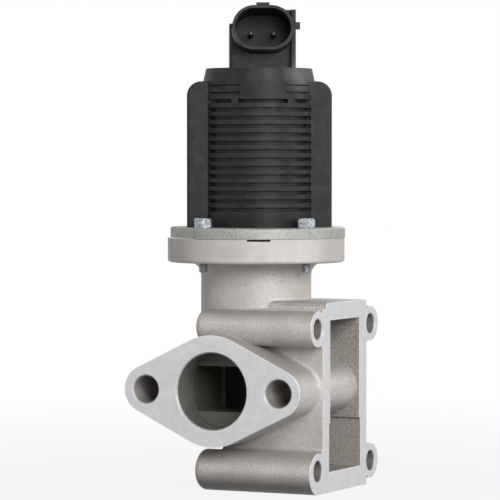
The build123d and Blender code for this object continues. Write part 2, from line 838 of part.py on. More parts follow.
# Armature: an iron plug on the stem, with two bores that let air pass it
with BuildPart() as armature:
    with BuildSketch(level(armature_bottom)):
        Circle(armature_radius)
    extrude(amount=armature_length)
    chamfer(armature.edges().group_by(Axis.Z)[0], stop_pad_thickness)
    chamfer(armature.edges().group_by(Axis.Z)[-1], stop_pad_thickness)
    with BuildSketch(level(armature_bottom)):
        with PolarLocations((armature_radius + stem_radius) / 2, 2):
            Circle(vent_radius)
    extrude(amount=armature_length, mode=Mode.SUBTRACT)
    with BuildSketch(level(armature_bottom)):
        Circle(stem_radius + press_gap)
    extrude(amount=stem_grip + press_gap, mode=Mode.SUBTRACT)
armature.part.label = "armature"
export_step(armature.part, "parts/armature.step")

# Thin brass sleeve that guides the armature
with BuildPart() as armature_sleeve:
    with BuildSketch(level(lower_pole_top)):
        Circle(sleeve_radius)
        Circle(sleeve_bore_radius, mode=Mode.SUBTRACT)
    extrude(amount=sleeve_length)
armature_sleeve.part.label = "armature_sleeve"
export_step(armature_sleeve.part, "parts/armature_sleeve.step")

# Stop pad under the upper pole, which the armature meets just past full lift
with BuildPart() as stop_pad:
    with BuildSketch(level(stop_pad_bottom)):
        Circle(stop_pad_radius)
    extrude(amount=stop_pad_thickness)
stop_pad.part.label = "stop_pad"
export_step(stop_pad.part, "parts/stop_pad.step")

# Upper pole: an iron plug riveted through the bridge of the yoke
with BuildPart() as upper_pole:
    with BuildSketch(level(upper_pole_bottom)):
        Circle(sleeve_bore_radius - press_gap)
    extrude(amount=bobbin_top - upper_pole_bottom)
    with BuildSketch(level(bobbin_top)):
        Circle(pole_rivet_radius)
    extrude(amount=yoke_thickness + pole_rivet_head)
    with BuildSketch(level(yoke_top)):
        Circle(pole_rivet_radius + pole_rivet_head)
    extrude(amount=pole_rivet_head)
upper_pole.part.label = "upper_pole"
export_step(upper_pole.part, "parts/upper_pole.step")

# Coil bobbin: a plastic spool round the sleeve
with BuildPart() as coil_bobbin:
    with BuildSketch(level(lower_pole_top)):
        Circle(bobbin_tube_radius)
    extrude(amount=bobbin_length)
    with BuildSketch(
        level(lower_pole_top), level(bobbin_top - bobbin_flange_thickness)
    ):
        Circle(bobbin_flange_radius)
    extrude(amount=bobbin_flange_thickness)
    with BuildSketch(level(lower_pole_top)):
        Circle(sleeve_radius + press_gap)
    extrude(amount=bobbin_length, mode=Mode.SUBTRACT)
coil_bobbin.part.label = "coil_bobbin"
export_step(coil_bobbin.part, "parts/coil_bobbin.step")

# Copper winding that fills the spool
with BuildPart() as coil_winding:
    with BuildSketch(level(lower_pole_top + bobbin_flange_thickness)):
        Circle(winding_radius)
        Circle(bobbin_tube_radius + press_gap, mode=Mode.SUBTRACT)
    extrude(amount=bobbin_length - 2 * bobbin_flange_thickness)
coil_winding.part.label = "coil_winding"
export_step(coil_winding.part, "parts/coil_winding.step")

# Magnet yoke: a steel strap bent over the coil, with its feet on the plate
with BuildPart() as magnet_yoke:
    with BuildSketch(actuator_elevation) as strap:
        with Locations((0, plate_top)):
            Rectangle(yoke_span, yoke_top - plate_top, align=(Align.CENTER, Align.MIN))
        fillet(strap.vertices().group_by(Axis.Y)[-1], yoke_bend_radius)
        with Locations((0, plate_top)):
            Rectangle(
                yoke_span - 2 * yoke_thickness,
                yoke_top - yoke_thickness - plate_top,
                align=(Align.CENTER, Align.MIN),
                mode=Mode.SUBTRACT,
            )
    extrude(amount=yoke_width / 2, both=True)
    with BuildSketch(level(bobbin_top)):
        Circle(pole_rivet_radius + press_gap)
    extrude(amount=yoke_thickness, mode=Mode.SUBTRACT)
magnet_yoke.part.label = "magnet_yoke"
export_step(magnet_yoke.part, "parts/magnet_yoke.step")

# Places in the connector tower. The socket leans back, so its mouth looks a little upward
mouth_centre = actuator_point(tower_shift, socket_mouth_distance, socket_mouth_height)
socket_axis = Vector(
    cos(radians(socket_tilt)) * front[0],
    cos(radians(socket_tilt)) * front[1],
    sin(radians(socket_tilt)),
)
socket_plane = Plane(origin=mouth_centre, x_dir=across, z_dir=socket_axis)


def socket_section(depth):
    """A plane across the socket, that far behind its mouth."""
    return socket_plane.offset(-depth)


# Two contact pins, each bent down through the tower to the coil
pin_run = socket_mouth_distance + pin_leg_distance
pin_root_height = socket_mouth_height - pin_run * tan(radians(socket_tilt)) - pin_drop
pin_length = pin_run / cos(radians(socket_tilt)) - socket_depth + pin_reach
with BuildPart() as terminal_pins:
    for side in (-1, 1):
        sideways = tower_shift + side * pin_pitch / 2
        pin_foot = Vector(*actuator_point(sideways, -pin_leg_distance, bobbin_top))
        pin_root = Vector(*actuator_point(sideways, -pin_leg_distance, pin_root_height))
        with BuildLine() as pin_line:
            FilletPolyline(
                pin_root + socket_axis * pin_length, pin_root, pin_foot, radius=pin_bend_radius
            )
        with BuildSketch(Plane(origin=pin_line.line @ 0, z_dir=pin_line.line % 0)):
            Circle(pin_radius)
        sweep(path=pin_line.line)
    fillet(terminal_pins.edges().filter_by(GeomType.CIRCLE).group_by(Axis.Z)[-1], pin_tip_radius)
terminal_pins.part.label = "terminal_pins"
export_step(terminal_pins.part, "parts/terminal_pins.step")

# Cover: core, fins, wings, collar and tower in one black moulding
fin_start = plate_top + cover_base_band
fin_thickness = fin_pitch - fin_gap
fin_stack = cover_height - cover_base_band - fin_gap - cover_head_band
fin_count = round(fin_stack / fin_pitch)
fin_levels = [fin_start + fin_gap + fin_pitch * n for n in range(fin_count)]
with BuildPart() as actuator_cover:
    # Core under the fins, flattened beside the wings
    with BuildSketch(actuator_level(plate_top)):
        Circle(fin_root_radius)
        Rectangle(2 * fin_root_half_width, 2 * cover_radius, mode=Mode.INTERSECT)
    extrude(amount=cover_top - plate_top)
    # Smooth foot, fins and smooth head
    with BuildSketch(actuator_level(plate_top)):
        Circle(cover_radius)
    extrude(amount=cover_base_band)
    with BuildSketch(*[actuator_level(height) for height in fin_levels]):
        Circle(cover_radius)
    extrude(amount=fin_thickness)
    head_start = fin_levels[-1] + fin_pitch
    with BuildSketch(actuator_level(head_start)):
        Circle(cover_radius)
    extrude(amount=cover_top - head_start)
    # Short slots in the head, which stop beside the plain pad at the front
    slot_levels = [cover_top - drop - pad_slot_gap / 2 for drop in pad_slot_drops]
    with BuildSketch(*[actuator_level(height) for height in slot_levels]):
        Circle(cover_radius + fin_gap)
        Circle(fin_root_radius, mode=Mode.SUBTRACT)
        with Locations((tower_shift, 0)):
            Rectangle(
                pad_width,
                2 * cover_radius + fin_gap,
                align=(Align.CENTER, Align.MAX),
                mode=Mode.SUBTRACT,
            )
    extrude(amount=pad_slot_gap, mode=Mode.SUBTRACT)
    # Deeper slot under the head, bridged by two ribs beside the pad
    with BuildSketch(actuator_level(head_start - fin_gap)):
        Circle(cover_radius + fin_gap)
        Circle(cover_radius - head_slot_depth, mode=Mode.SUBTRACT)
        with Locations((tower_shift - head_rib_distance, 0), (tower_shift + head_rib_distance, 0)):
            Rectangle(
                head_rib_width,
                2 * cover_radius + fin_gap,
                align=(Align.CENTER, Align.MAX),
                mode=Mode.SUBTRACT,
            )
    extrude(amount=fin_gap, mode=Mode.SUBTRACT)
    with BuildSketch(actuator_level(head_start - fin_gap)) as head_ribs:
        with Locations((tower_shift - head_rib_distance, 0), (tower_shift + head_rib_distance, 0)):
            Rectangle(head_rib_width, 2 * cover_radius, align=(Align.CENTER, Align.MAX))
        Circle(cover_radius, mode=Mode.INTERSECT)
    extrude(amount=fin_gap)
    # Wings that house the legs of the yoke
    with BuildSketch(actuator_elevation) as wings:
        with Locations((0, plate_top)):
            Rectangle(wing_span, cover_top - plate_top, align=(Align.CENTER, Align.MIN))
        fillet(wings.vertices().group_by(Axis.Y)[-1], wing_corner_radius)
    extrude(amount=wing_depth / 2, both=True)
    wing_edges = actuator_cover.edges().filter_by(Axis.Z)
    fillet([edge for edge in wing_edges if edge.length > wing_span / 2], wing_edge_radius)
    # Slots between the core and the wings, as high as the gaps between the fins
    with BuildSketch(*[actuator_level(height - fin_gap) for height in fin_levels]):
        with Locations((-side_slot_middle, 0), (side_slot_middle, 0)):
            Rectangle(side_slot_width, 2 * cover_radius)
        Rectangle(2 * cover_radius, wing_depth - 2 * side_slot_step, mode=Mode.SUBTRACT)
    extrude(amount=fin_gap, mode=Mode.SUBTRACT)
    # Collar
    with BuildSketch(half_section):
        with BuildLine():
            Polyline(
                (0, cover_top - cover_roof),
                (cover_radius, cover_top - cover_roof),
                (cover_radius, cover_top),
                (collar_top_radius, collar_top),
                (0, collar_top),
                (0, cover_top - cover_roof),
            )
        make_face()
    revolve(axis=valve_axis)
    # Tower with a taller cheek at its right
    with BuildSketch(actuator_level(collar_top)):
        with Locations((tower_shift, (tower_back - tower_front) / 2)):
            RectangleRounded(tower_width, tower_front + tower_back, tower_edge_radius)
    extrude(amount=tower_shoulder - collar_top)
    with BuildSketch(actuator_level(collar_top)):
        with Locations((tower_shift + tower_width / 2, 0)):
            Rectangle(cheek_width, cheek_reach, align=(Align.MAX, Align.MAX))
    extrude(amount=cheek_top - collar_top)
    with BuildSketch(actuator_level(tower_shoulder)):
        with Locations((tower_shift + tower_width / 2, 0)):
            Rectangle(cheek_block_width, tower_front, align=(Align.MAX, Align.MAX))
    extrude(amount=cheek_top - tower_shoulder)
    # Latch pip on the cheek
    with BuildSketch(actuator_level(nub_bottom)):
        with Locations((tower_shift + tower_width / 2, -tower_front)):
            Rectangle(nub_reach, nub_height, align=(Align.MIN, Align.MIN))
    extrude(amount=nub_height)
    # Oval shroud of the socket and the catch on top of it
    with BuildSketch(socket_section(socket_depth + socket_back_wall)):
        SlotOverall(socket_width, socket_height)
    extrude(amount=socket_depth + socket_back_wall)
    with BuildSketch(socket_section(latch_length)):
        with Locations((0, socket_height / 2)):
            Rectangle(latch_width, 2 * latch_height)
    extrude(amount=latch_length)
    # Inside: coil space, yoke spaces in the wings and the socket
    with BuildSketch(actuator_level(plate_top)):
        Circle(cover_bore_radius)
    extrude(amount=cavity_top - plate_top, mode=Mode.SUBTRACT)
    with BuildSketch(actuator_elevation) as wing_space:
        with Locations((0, plate_top)):
            Rectangle(
                wing_span - 2 * wing_wall,
                cavity_top - plate_top,
                align=(Align.CENTER, Align.MIN),
            )
        fillet(wing_space.vertices().group_by(Axis.Y)[-1], wing_corner_radius - wing_wall)
    extrude(amount=wing_depth / 2 - wing_wall, both=True, mode=Mode.SUBTRACT)
    with BuildSketch(socket_section(socket_depth)):
        SlotOverall(socket_width - 2 * socket_wall, socket_height - 2 * socket_wall)
    extrude(amount=socket_depth, mode=Mode.SUBTRACT)
    add(terminal_pins.part, mode=Mode.SUBTRACT)
actuator_cover.part.label = "actuator_cover"
export_step(actuator_cover.part, "parts/actuator_cover.step")
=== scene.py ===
# %% [markdown]
# # Dressing an exhaust gas valve
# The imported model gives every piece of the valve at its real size. This lesson adds what a
# camera sees: the grain of a sand casting, milled faces, zinc, moulded plastic, real bolts and a
# wound coil.
# All lengths are in metres, in the model's own frame, so a piece goes where the frame says.
# %% Load the frame
import json
import math

import bpy
import numpy as np
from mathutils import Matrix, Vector


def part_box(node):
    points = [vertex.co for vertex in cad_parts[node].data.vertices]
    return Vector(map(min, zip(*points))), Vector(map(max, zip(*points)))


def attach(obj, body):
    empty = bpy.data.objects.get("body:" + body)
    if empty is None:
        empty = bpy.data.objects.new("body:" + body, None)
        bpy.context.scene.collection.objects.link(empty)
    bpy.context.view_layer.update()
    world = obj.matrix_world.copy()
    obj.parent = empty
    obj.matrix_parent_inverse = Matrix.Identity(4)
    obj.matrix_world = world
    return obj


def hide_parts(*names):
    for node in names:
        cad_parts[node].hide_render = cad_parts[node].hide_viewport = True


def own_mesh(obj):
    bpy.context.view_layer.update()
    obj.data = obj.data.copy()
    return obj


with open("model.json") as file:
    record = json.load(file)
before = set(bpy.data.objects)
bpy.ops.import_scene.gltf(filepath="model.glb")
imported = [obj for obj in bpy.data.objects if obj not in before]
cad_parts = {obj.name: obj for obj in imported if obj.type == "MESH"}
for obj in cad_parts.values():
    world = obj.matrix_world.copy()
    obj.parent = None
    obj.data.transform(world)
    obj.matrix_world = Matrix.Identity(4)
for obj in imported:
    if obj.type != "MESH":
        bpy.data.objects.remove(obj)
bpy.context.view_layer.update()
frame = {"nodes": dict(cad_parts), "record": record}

nodes = frame["nodes"]
mm = 0.001

# %% [markdown]
# ## Places that the frame gives
# The column of the casting stands in the middle of the four bolts. The milled faces are the
# lowest and highest ends of the casting, and the port comes from the record, so nothing here is
# measured twice. The stem's axis is the middle of the return spring, and everything below the
# stem's guide stands in exhaust gas.
# %% Read the places
plate_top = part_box("mounting_plate")[1].z
body_low, body_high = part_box("valve_body")
bolts_low, bolts_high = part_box("housing_bolts")
column_x = (bolts_low.x + bolts_high.x) / 2
flange_face = body_high.z
inlet_face = body_low.y
mounts = {mount["name"]: mount for mount in frame["record"]["mounts"]}
port_x, _, port_z = mounts["inlet_port"]["pos_m"]
port_radius = mounts["inlet_port"]["dims"]["r_mm"] * mm
guide_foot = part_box("guide_bush")[0].z
spring_low, spring_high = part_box("return_spring")
stem_x = (spring_low.x + spring_high.x) / 2
stem_y = (spring_low.y + spring_high.y) / 2
print("column x", round(column_x, 5), "stem", round(stem_x, 5), round(stem_y, 5))
print("plate top", round(plate_top, 5), "inlet face", round(inlet_face, 5))

# %% [markdown]
# ## Camera
# A long lens from about a metre away gives the flat perspective of a shop photograph. The focal
# length is written in pixels of the 500 pixel picture, because that is how it was worked out from
# the bolt holes and the round flange, and the sensor width turns it into millimetres.
# %% Place the camera
picture_pixels = 500
focal_pixels = 3108
sensor_width = 36.0
camera_azimuth = math.radians(26.0)
camera_elevation = math.radians(1.75)
camera_distance = 1.036
aim_height = 0.04767
aim_shift = 0.00205
nearest_seen = 0.01
farthest_seen = 20.0


def outward(azimuth, elevation):
    """The direction of length 1 from the valve to a place round it and above it.

    Its level part is the cosine of the elevation, shared out between right and front by the sine
    and the cosine of the azimuth. Its height is the sine of the elevation.
    """
    level = math.cos(elevation)
    return Vector((math.sin(azimuth) * level, -math.cos(azimuth) * level, math.sin(elevation)))


right = Vector((math.cos(camera_azimuth), math.sin(camera_azimuth), 0))
back = outward(camera_azimuth, camera_elevation)
aim = Vector((column_x, 0, aim_height)) - right * aim_shift
lens = bpy.data.cameras.new("camera")
lens.sensor_width = sensor_width
lens.lens = focal_pixels / picture_pixels * sensor_width
lens.clip_start = nearest_seen
lens.clip_end = farthest_seen
camera = bpy.data.objects.new("camera", lens)
camera.rotation_mode = "QUATERNION"
camera.location = aim + back * camera_distance
camera.rotation_quaternion = (-back).to_track_quat("-Z", "Y")
bpy.context.scene.collection.objects.link(camera)
bpy.context.scene.camera = camera
print("lens", round(lens.lens, 1), "mm at", camera_distance, "m")

# %% [markdown]
# ## Light
# The photograph has soft light from a little right of the camera, weaker light on the left, and a
# white surround that the metal mirrors. Large lamps close to the object make soft edges between
# light and shade. The key lamp is the main one, and the fill lamp softens the side away from it.
# Each lamp is given by its direction round the camera's own, and looks at the camera's aim.
# %% Hang the lamps
lamp_plan = {
    # name: (degrees right of the camera, degrees up, distance, width, watts)
    "key": (21.0, 20.5, 0.60, 0.30, 2.90),
    "side": (80.0, 18.0, 0.50, 0.30, 0.50),
    "fill": (-55.0, 12.0, 0.90, 0.50, 0.26),
    "top": (0.0, 80.0, 0.80, 0.50, 0.40),
    "back": (165.0, 35.0, 0.90, 0.50, 1.70),
}


def hang_lamp(name, turn, rise, distance, width, watts):
    """A square area lamp that looks at the aim point from a direction given round the camera."""
    direction = outward(camera_azimuth + math.radians(turn), math.radians(rise))
    lamp = bpy.data.lights.new(name, "AREA")
    lamp.size = width
    lamp.energy = watts
    holder = bpy.data.objects.new(name, lamp)
    holder.location = aim + direction * distance
    holder.rotation_mode = "QUATERNION"
    holder.rotation_quaternion = direction.to_track_quat("Z", "Y")
    bpy.context.scene.collection.objects.link(holder)


for lamp_name, plan in lamp_plan.items():
    hang_lamp(lamp_name, *plan)
print("lamps:", ", ".join(lamp_plan))

# %% [markdown]
# ## Surround
# The world could be plain white, but then it would light the object from all sides and wash out
# its shade. So it is grey as a light, and white only where the camera or a mirror looks at it.
# The Light Path node tells which kind of ray is asking.
# %% Colour the world
ambient_grey = 0.22
world = bpy.data.worlds.new("surround")
bpy.context.scene.world = world
world.use_nodes = True
sky = world.node_tree
ambient = sky.nodes["Background"]
ambient.inputs["Color"].default_value = (1, 1, 1, 1)
ambient.inputs["Strength"].default_value = ambient_grey
white = sky.nodes.new("ShaderNodeBackground")
white.inputs["Color"].default_value = (1, 1, 1, 1)
white.inputs["Strength"].default_value = 1.0


def seen_directly(tree):
    """Light Path's answer for a camera, mirror or glass ray: 1 if it is any of them, else 0."""
    path = tree.nodes.new("ShaderNodeLightPath")
    total = path.outputs["Is Camera Ray"]
    for kind in ("Is Glossy Ray", "Is Transmission Ray"):
        either = tree.nodes.new("ShaderNodeMath")
        either.operation = "MAXIMUM"
        tree.links.new(total, either.inputs[0])
        tree.links.new(path.outputs[kind], either.inputs[1])
        total = either.outputs[0]
    return total


choose = sky.nodes.new("ShaderNodeMixShader")
sky.links.new(seen_directly(sky), choose.inputs[0])
sky.links.new(ambient.outputs[0], choose.inputs[1])
sky.links.new(white.outputs[0], choose.inputs[2])
sky.links.new(choose.outputs[0], sky.nodes["World Output"].inputs["Surface"])
print("world: grey", ambient_grey, "for lighting, white where it is seen")

# %% [markdown]
# ## Words for making finishes
# A finish is a graph of nodes in front of one Principled shader. A graph could be drawn by hand,
# but short words for its nodes keep each recipe readable and easy to change. They come in five
# groups, each built on the one before. The first makes the material and joins nodes. It starts
# from the piece's own coordinates, so that a pattern stays on its piece when the piece moves.
# %% Wires


class Graph:
    """A material with its Principled shader, and the word that joins nodes."""

    def __init__(self, name, colour, metallic=0.0, roughness=0.5):
        self.material = bpy.data.materials.new(name)
        self.material.use_nodes = True
        self.tree = self.material.node_tree
        self.shader = self.tree.nodes["Principled BSDF"]
        self.shader.inputs["Base Color"].default_value = (*colour, 1)
        self.shader.inputs["Metallic"].default_value = metallic
        self.shader.inputs["Roughness"].default_value = roughness
        self.place = self.tree.nodes.new("ShaderNodeTexCoord").outputs["Object"]
        parts = self.tree.nodes.new("ShaderNodeSeparateXYZ")
        self.wire(self.place, parts.inputs[0])
        self.x, self.y, self.z = parts.outputs

    def wire(self, value, socket):
        """Put a number, a colour or another node's output into a socket."""
        if isinstance(value, bpy.types.NodeSocket):
            self.tree.links.new(value, socket)
        else:
            socket.default_value = value


def list_words(group):
    """Print the words that a group adds."""
    print(group.__name__, "adds:", ", ".join(word for word in vars(group) if word[0] != "_"))


list_words(Graph)

# %% [markdown]
# The second group does arithmetic. A share is a number from 0 to 1: shares are multiplied where
# both must hold, and the larger one is taken where either is enough.
# %% Arithmetic


class Arithmetic(Graph):
    """Words for sums, products, limits and distances."""

    def step(self, operation, *values):
        """One step of arithmetic by a Math node, such as SINE or ABSOLUTE."""
        node = self.tree.nodes.new("ShaderNodeMath")
        node.operation = operation
        for value, socket in zip(values, node.inputs):
            self.wire(value, socket)
        return node.outputs[0]

    def plus(self, first, second):
        """The sum of two values."""
        return self.step("ADD", first, second)

    def minus(self, first, second):
        """The first value less the second."""
        return self.step("SUBTRACT", first, second)

    def times(self, value, *factors):
        """A value multiplied by each factor in turn."""
        for factor in factors:
            value = self.step("MULTIPLY", value, factor)
        return value

    def larger(self, first, second):
        """The larger of two values, so of two shares the one that covers more."""
        return self.step("MAXIMUM", first, second)

    def below(self, value, limit):
        """1 where a value is less than a limit, else 0."""
        return self.step("LESS_THAN", value, limit)

    def above(self, value, limit):
        """1 where a value is more than a limit, else 0."""
        return self.step("GREATER_THAN", value, limit)

    def squares(self, first, second):
        """The squares of two values added up: a distance squared, by the rule of right angles."""
        return self.plus(self.times(first, first), self.times(second, second))

    def measure(self, operation, first, second):
        """One number from two places or directions, by DISTANCE or DOT_PRODUCT."""
        node = self.tree.nodes.new("ShaderNodeVectorMath")
        node.operation = operation
        self.wire(first, node.inputs[0])
        self.wire(second, node.inputs[1])
        return node.outputs["Value"]


list_words(Arithmetic)

# %% [markdown]
# The third group makes patterns and colours. Noise is given by the size of its lumps in metres,
# because a size on the real surface is easier to judge than a texture's scale. It seldom leaves
# the middle of the range from 0 to 1, so two usual ranges spread it over the whole of it.
# %% Patterns and colours
soft_range = 0.3, 0.7
strong_range = 0.35, 0.65


class Patterns(Arithmetic):
    """Words for noise, cells, ranges and mixed colours."""

    def noise(self, size, detail=2.0, stretch=(1.0, 1.0, 1.0)):
        """Soft noise from 0 to 1 whose lumps are about that size, stretched along an axis."""
        mapping = self.tree.nodes.new("ShaderNodeMapping")
        self.wire(self.place, mapping.inputs["Vector"])
        mapping.inputs["Scale"].default_value = [1 / (size * s) for s in stretch]
        node = self.tree.nodes.new("ShaderNodeTexNoise")
        self.wire(mapping.outputs[0], node.inputs["Vector"])
        node.inputs["Scale"].default_value = 1.0
        node.inputs["Detail"].default_value = detail
        return node.outputs["Fac"]

    def cells(self, size):
        """The distance from each cell's middle, counted in cells, and the cell's own colour."""
        node = self.tree.nodes.new("ShaderNodeTexVoronoi")
        self.wire(self.place, node.inputs["Vector"])
        node.inputs["Scale"].default_value = 1 / size
        return node.outputs["Distance"], node.outputs["Color"]

    def spread(self, value, low, high, start, end):
        """Turn the range from low to high into the range from start to end, and hold it there."""
        node = self.tree.nodes.new("ShaderNodeMapRange")
        for number, socket in zip((value, low, high, start, end), node.inputs):
            self.wire(number, socket)
        return node.outputs[0]

    def mix(self, share, first, second):
        """A colour between two colours."""
        node = self.tree.nodes.new("ShaderNodeMix")
        node.data_type = "RGBA"
        self.wire(share, node.inputs["Factor"])
        colour_sockets = [s for s in node.inputs if s.type == "RGBA"]
        for colour, socket in zip((first, second), colour_sockets):
            self.wire(colour if isinstance(colour, bpy.types.NodeSocket) else (*colour, 1), socket)
        return next(s for s in node.outputs if s.type == "RGBA")

    def clouded(self, value, low, high, tones):
        """A colour that goes from the first tone to the second as a value goes from low to high."""
        return self.mix(self.spread(value, low, high, 0.0, 1.0), *tones)


list_words(Patterns)

# %% [markdown]
# The fourth group looks at the surface itself. Sharp model edges never catch light as real ones do,
# so the Bevel node turns the normal near them. How far it leans also tells where an edge is, for
# the worn edges and the painted highlights laid on edges.
# %% Relief and edges
edge_samples = 6
edge_lean = 0.85, 0.99


class Relief(Patterns):
    """Words for bumps, edges and the way that a surface looks."""

    def bump(self, height, depth, under=None):
        """Relief whose full height is that depth, laid over the relief under it."""
        node = self.tree.nodes.new("ShaderNodeBump")
        node.inputs["Distance"].default_value = depth
        self.wire(height, node.inputs["Height"])
        if under is not None:
            self.wire(under, node.inputs["Normal"])
        return node.outputs[0]

    def rounded(self, radius):
        """The surface's normal, turned near sharp edges as if they were rounded that much."""
        node = self.tree.nodes.new("ShaderNodeBevel")
        node.samples = edge_samples
        node.inputs["Radius"].default_value = radius
        return node.outputs[0]

    def plain_normal(self):
        """The surface's normal without any relief."""
        return self.tree.nodes.new("ShaderNodeNewGeometry").outputs["Normal"]

    def edges(self, radius, low, high):
        """1 on sharp edges and 0 on flat faces, from how far a rounded normal leans.

        The lean is the dot product of the rounded and the plain normal, which is 1 where they
        agree. There is no edge where it is over high, and a full one where it is under low.
        """
        lean = self.measure("DOT_PRODUCT", self.rounded(radius), self.plain_normal())
        return self.spread(lean, high, low, 0.0, 1.0)

    def facing_up(self, low, high, share):
        """0 on sides and undersides, rising to a share where the surface looks up."""
        parts = self.tree.nodes.new("ShaderNodeSeparateXYZ")
        self.wire(self.plain_normal(), parts.inputs[0])
        return self.spread(parts.outputs[2], low, high, 0.0, share)


list_words(Relief)

# %% [markdown]
# The last group finds places on a piece by simple solids: a plane, a cylinder, a distance along a
# direction. They need only the frame's sizes, and no picture.
# %% Places on a piece


class Finish(Relief):
    """Words for places, and the last step, which wires the results into the shader."""

    def near(self, value, place, reach):
        """1 where a value lies within reach of a place, else 0."""
        return self.step("COMPARE", value, place, reach)

    def within(self, first, second, first_place, second_place, radius):
        """1 inside a cylinder round a line that crosses two coordinates at those places."""
        one = self.minus(first, first_place)
        two = self.minus(second, second_place)
        return self.below(self.squares(one, two), radius ** 2)

    def along(self, direction, start):
        """How far a point lies from a start along a direction: the two dot products' difference."""
        return self.minus(self.measure("DOT_PRODUCT", self.place, direction), direction.dot(start))

    def finish(self, colour=None, roughness=None, normal=None, metallic=None):
        """Wire the graph's results into the shader and give back the material."""
        for value, socket in (
            (colour, "Base Color"),
            (roughness, "Roughness"),
            (normal, "Normal"),
            (metallic, "Metallic"),
        ):
            if value is not None:
                self.wire(value, self.shader.inputs[socket])
        return self.material


list_words(Finish)

# %% [markdown]
# The record names a slot for every piece, so the finishes are kept in a table by their slots.
# %% Keep the finishes
materials = {}


def keep(slot, material):
    """Keep a finish under the name of its slot in the record."""
    materials[slot] = material
    print(slot, "is a graph of", len(material.node_tree.nodes), "nodes")


# %% [markdown]
# ## Cast and milled aluminium
# The body is a sand casting. Its skin is a fine warm grey grain with slow stains, and a cutter
# has left three flat faces clean and bluish, with faint arcs. They could be faces with a material
# of their own, but the casting is one slot, so one material serves both: a milled face is
# wherever the surface lies exactly in one of the cut planes. A lathe has skimmed the rim of the
# round flange, and the walls of the drilled bolt holes are darkened with painted shade.
# %% Where tools went
cut_reach = 0.06 * mm
cutter_pitch = 0.45 * mm
cutter_centre = 0.09
rim_depth = 8.0 * mm
rim_radius = body_high.y - 0.9 * mm
wide_hole_share = 0.5


def milled_faces(cast):
    """1 where the casting lies in the manifold's, the inlet's or the top face's plane."""
    manifold = cast.near(cast.x, body_high.x, cut_reach)
    inlet = cast.near(cast.y, inlet_face, cut_reach)
    top = cast.near(cast.z, flange_face, cut_reach)
    return cast.larger(cast.larger(manifold, inlet), top)


def cutter_arcs(cast):
    """Waves from -1 to 1 in rings, as a face cutter leaves them.

    It is the sine of the distance from a point beside the faces, with one wave for each pitch.
    """
    across = cast.plus(cast.plus(cast.x, cast.y), cutter_centre)
    distance = cast.step("SQRT", cast.squares(across, cast.z))
    return cast.step("SINE", cast.times(distance, 2 * math.pi / cutter_pitch))


def drilled_holes(cast):
    """1 on the walls of the four manifold holes, and less on the two wider flange holes."""
    four = mounts["manifold_bolts"]["dims"]
    across, up = cast.step("ABSOLUTE", cast.y), cast.step("ABSOLUTE", cast.z)
    middle = four["spacing_x_mm"] / 2 * mm, four["spacing_y_mm"] / 2 * mm
    manifold = cast.within(across, up, *middle, four["hole_r_mm"] * mm + cut_reach)
    two = mounts["inlet_bolts"]["dims"]
    beside = cast.step("ABSOLUTE", cast.minus(cast.x, port_x))
    wall = two["hole_r_mm"] * mm + cut_reach
    flange = cast.within(beside, cast.z, two["spacing_x_mm"] / 2 * mm, port_z, wall)
    return cast.larger(manifold, cast.times(flange, wide_hole_share))


def skimmed_rim(cast):
    """1 on the round flange's rim: far enough out from the column, and not below the flange."""
    outside = cast.minus(1.0, cast.within(cast.x, cast.y, column_x, 0.0, rim_radius))
    return cast.times(outside, cast.above(cast.z, flange_face - rim_depth))


milled_planes = body_high.x, inlet_face, flange_face
print("milled planes at x, y and z:", [round(place, 5) for place in milled_planes])

# %% [markdown]
# Soot has blackened the port and the chamber behind it. The pocket behind the window keeps the
# brown skin of its sand cores, and here and there a sand grain has left a small dark pit. A mask
# painted by hand could show all this, but the places are simple solids, so sizes say it better.
# %% Where it is dark
soot_start = 0.6 * mm
soot_full = 16 * mm
thin_soot, thick_soot = 0.68, 0.93
chamber_back = 15 * mm
chamber_radius = port_radius + 3 * mm
pocket_depth = 17 * mm
pocket_half_width = 14.5 * mm
pocket_half_height = 28 * mm
duct_half_height = 12.9 * mm
duct_half_width = 11.6 * mm
pit_spacing = 2.2 * mm
pit_core, pit_edge = 0.07, 0.14
pit_cell_colour = 0.5


def gas_soot(cast):
    """Soot in the port and the chamber behind it: thin behind the rim, thick farther in."""
    inside = cast.within(cast.x, cast.z, port_x, port_z, chamber_radius)
    behind = cast.above(cast.y, inlet_face + soot_start)
    before = cast.below(cast.y, chamber_back)
    first, last = inlet_face + soot_start, inlet_face + soot_full
    soot = cast.spread(cast.y, first, last, thin_soot, thick_soot)
    return cast.times(soot, inside, behind, before)


def cored_pocket(cast):
    """1 on the pocket's walls: inside its box, but not on the gas duct that crosses its middle."""
    aside = cast.step("ABSOLUTE", cast.y)
    off_duct = cast.step("ABSOLUTE", cast.minus(cast.z, port_z))
    in_box = cast.times(
        cast.below(cast.x, -cut_reach),
        cast.above(cast.x, -pocket_depth),
        cast.below(aside, pocket_half_width),
        cast.below(off_duct, pocket_half_height),
    )
    beside_duct = cast.above(aside, duct_half_width)
    over_duct = cast.above(off_duct, duct_half_height)
    return cast.times(in_box, cast.larger(beside_duct, over_duct))


def sand_pits(cast):
    """1 at the middles of about half of a field of cells: those whose own colour is light."""
    distance, own_colour = cast.cells(pit_spacing)
    middle = cast.spread(distance, pit_core, pit_edge, 1.0, 0.0)
    return cast.times(middle, cast.above(own_colour, pit_cell_colour))


print("soot reaches from y", round(inlet_face + soot_start, 5), "to", chamber_back)
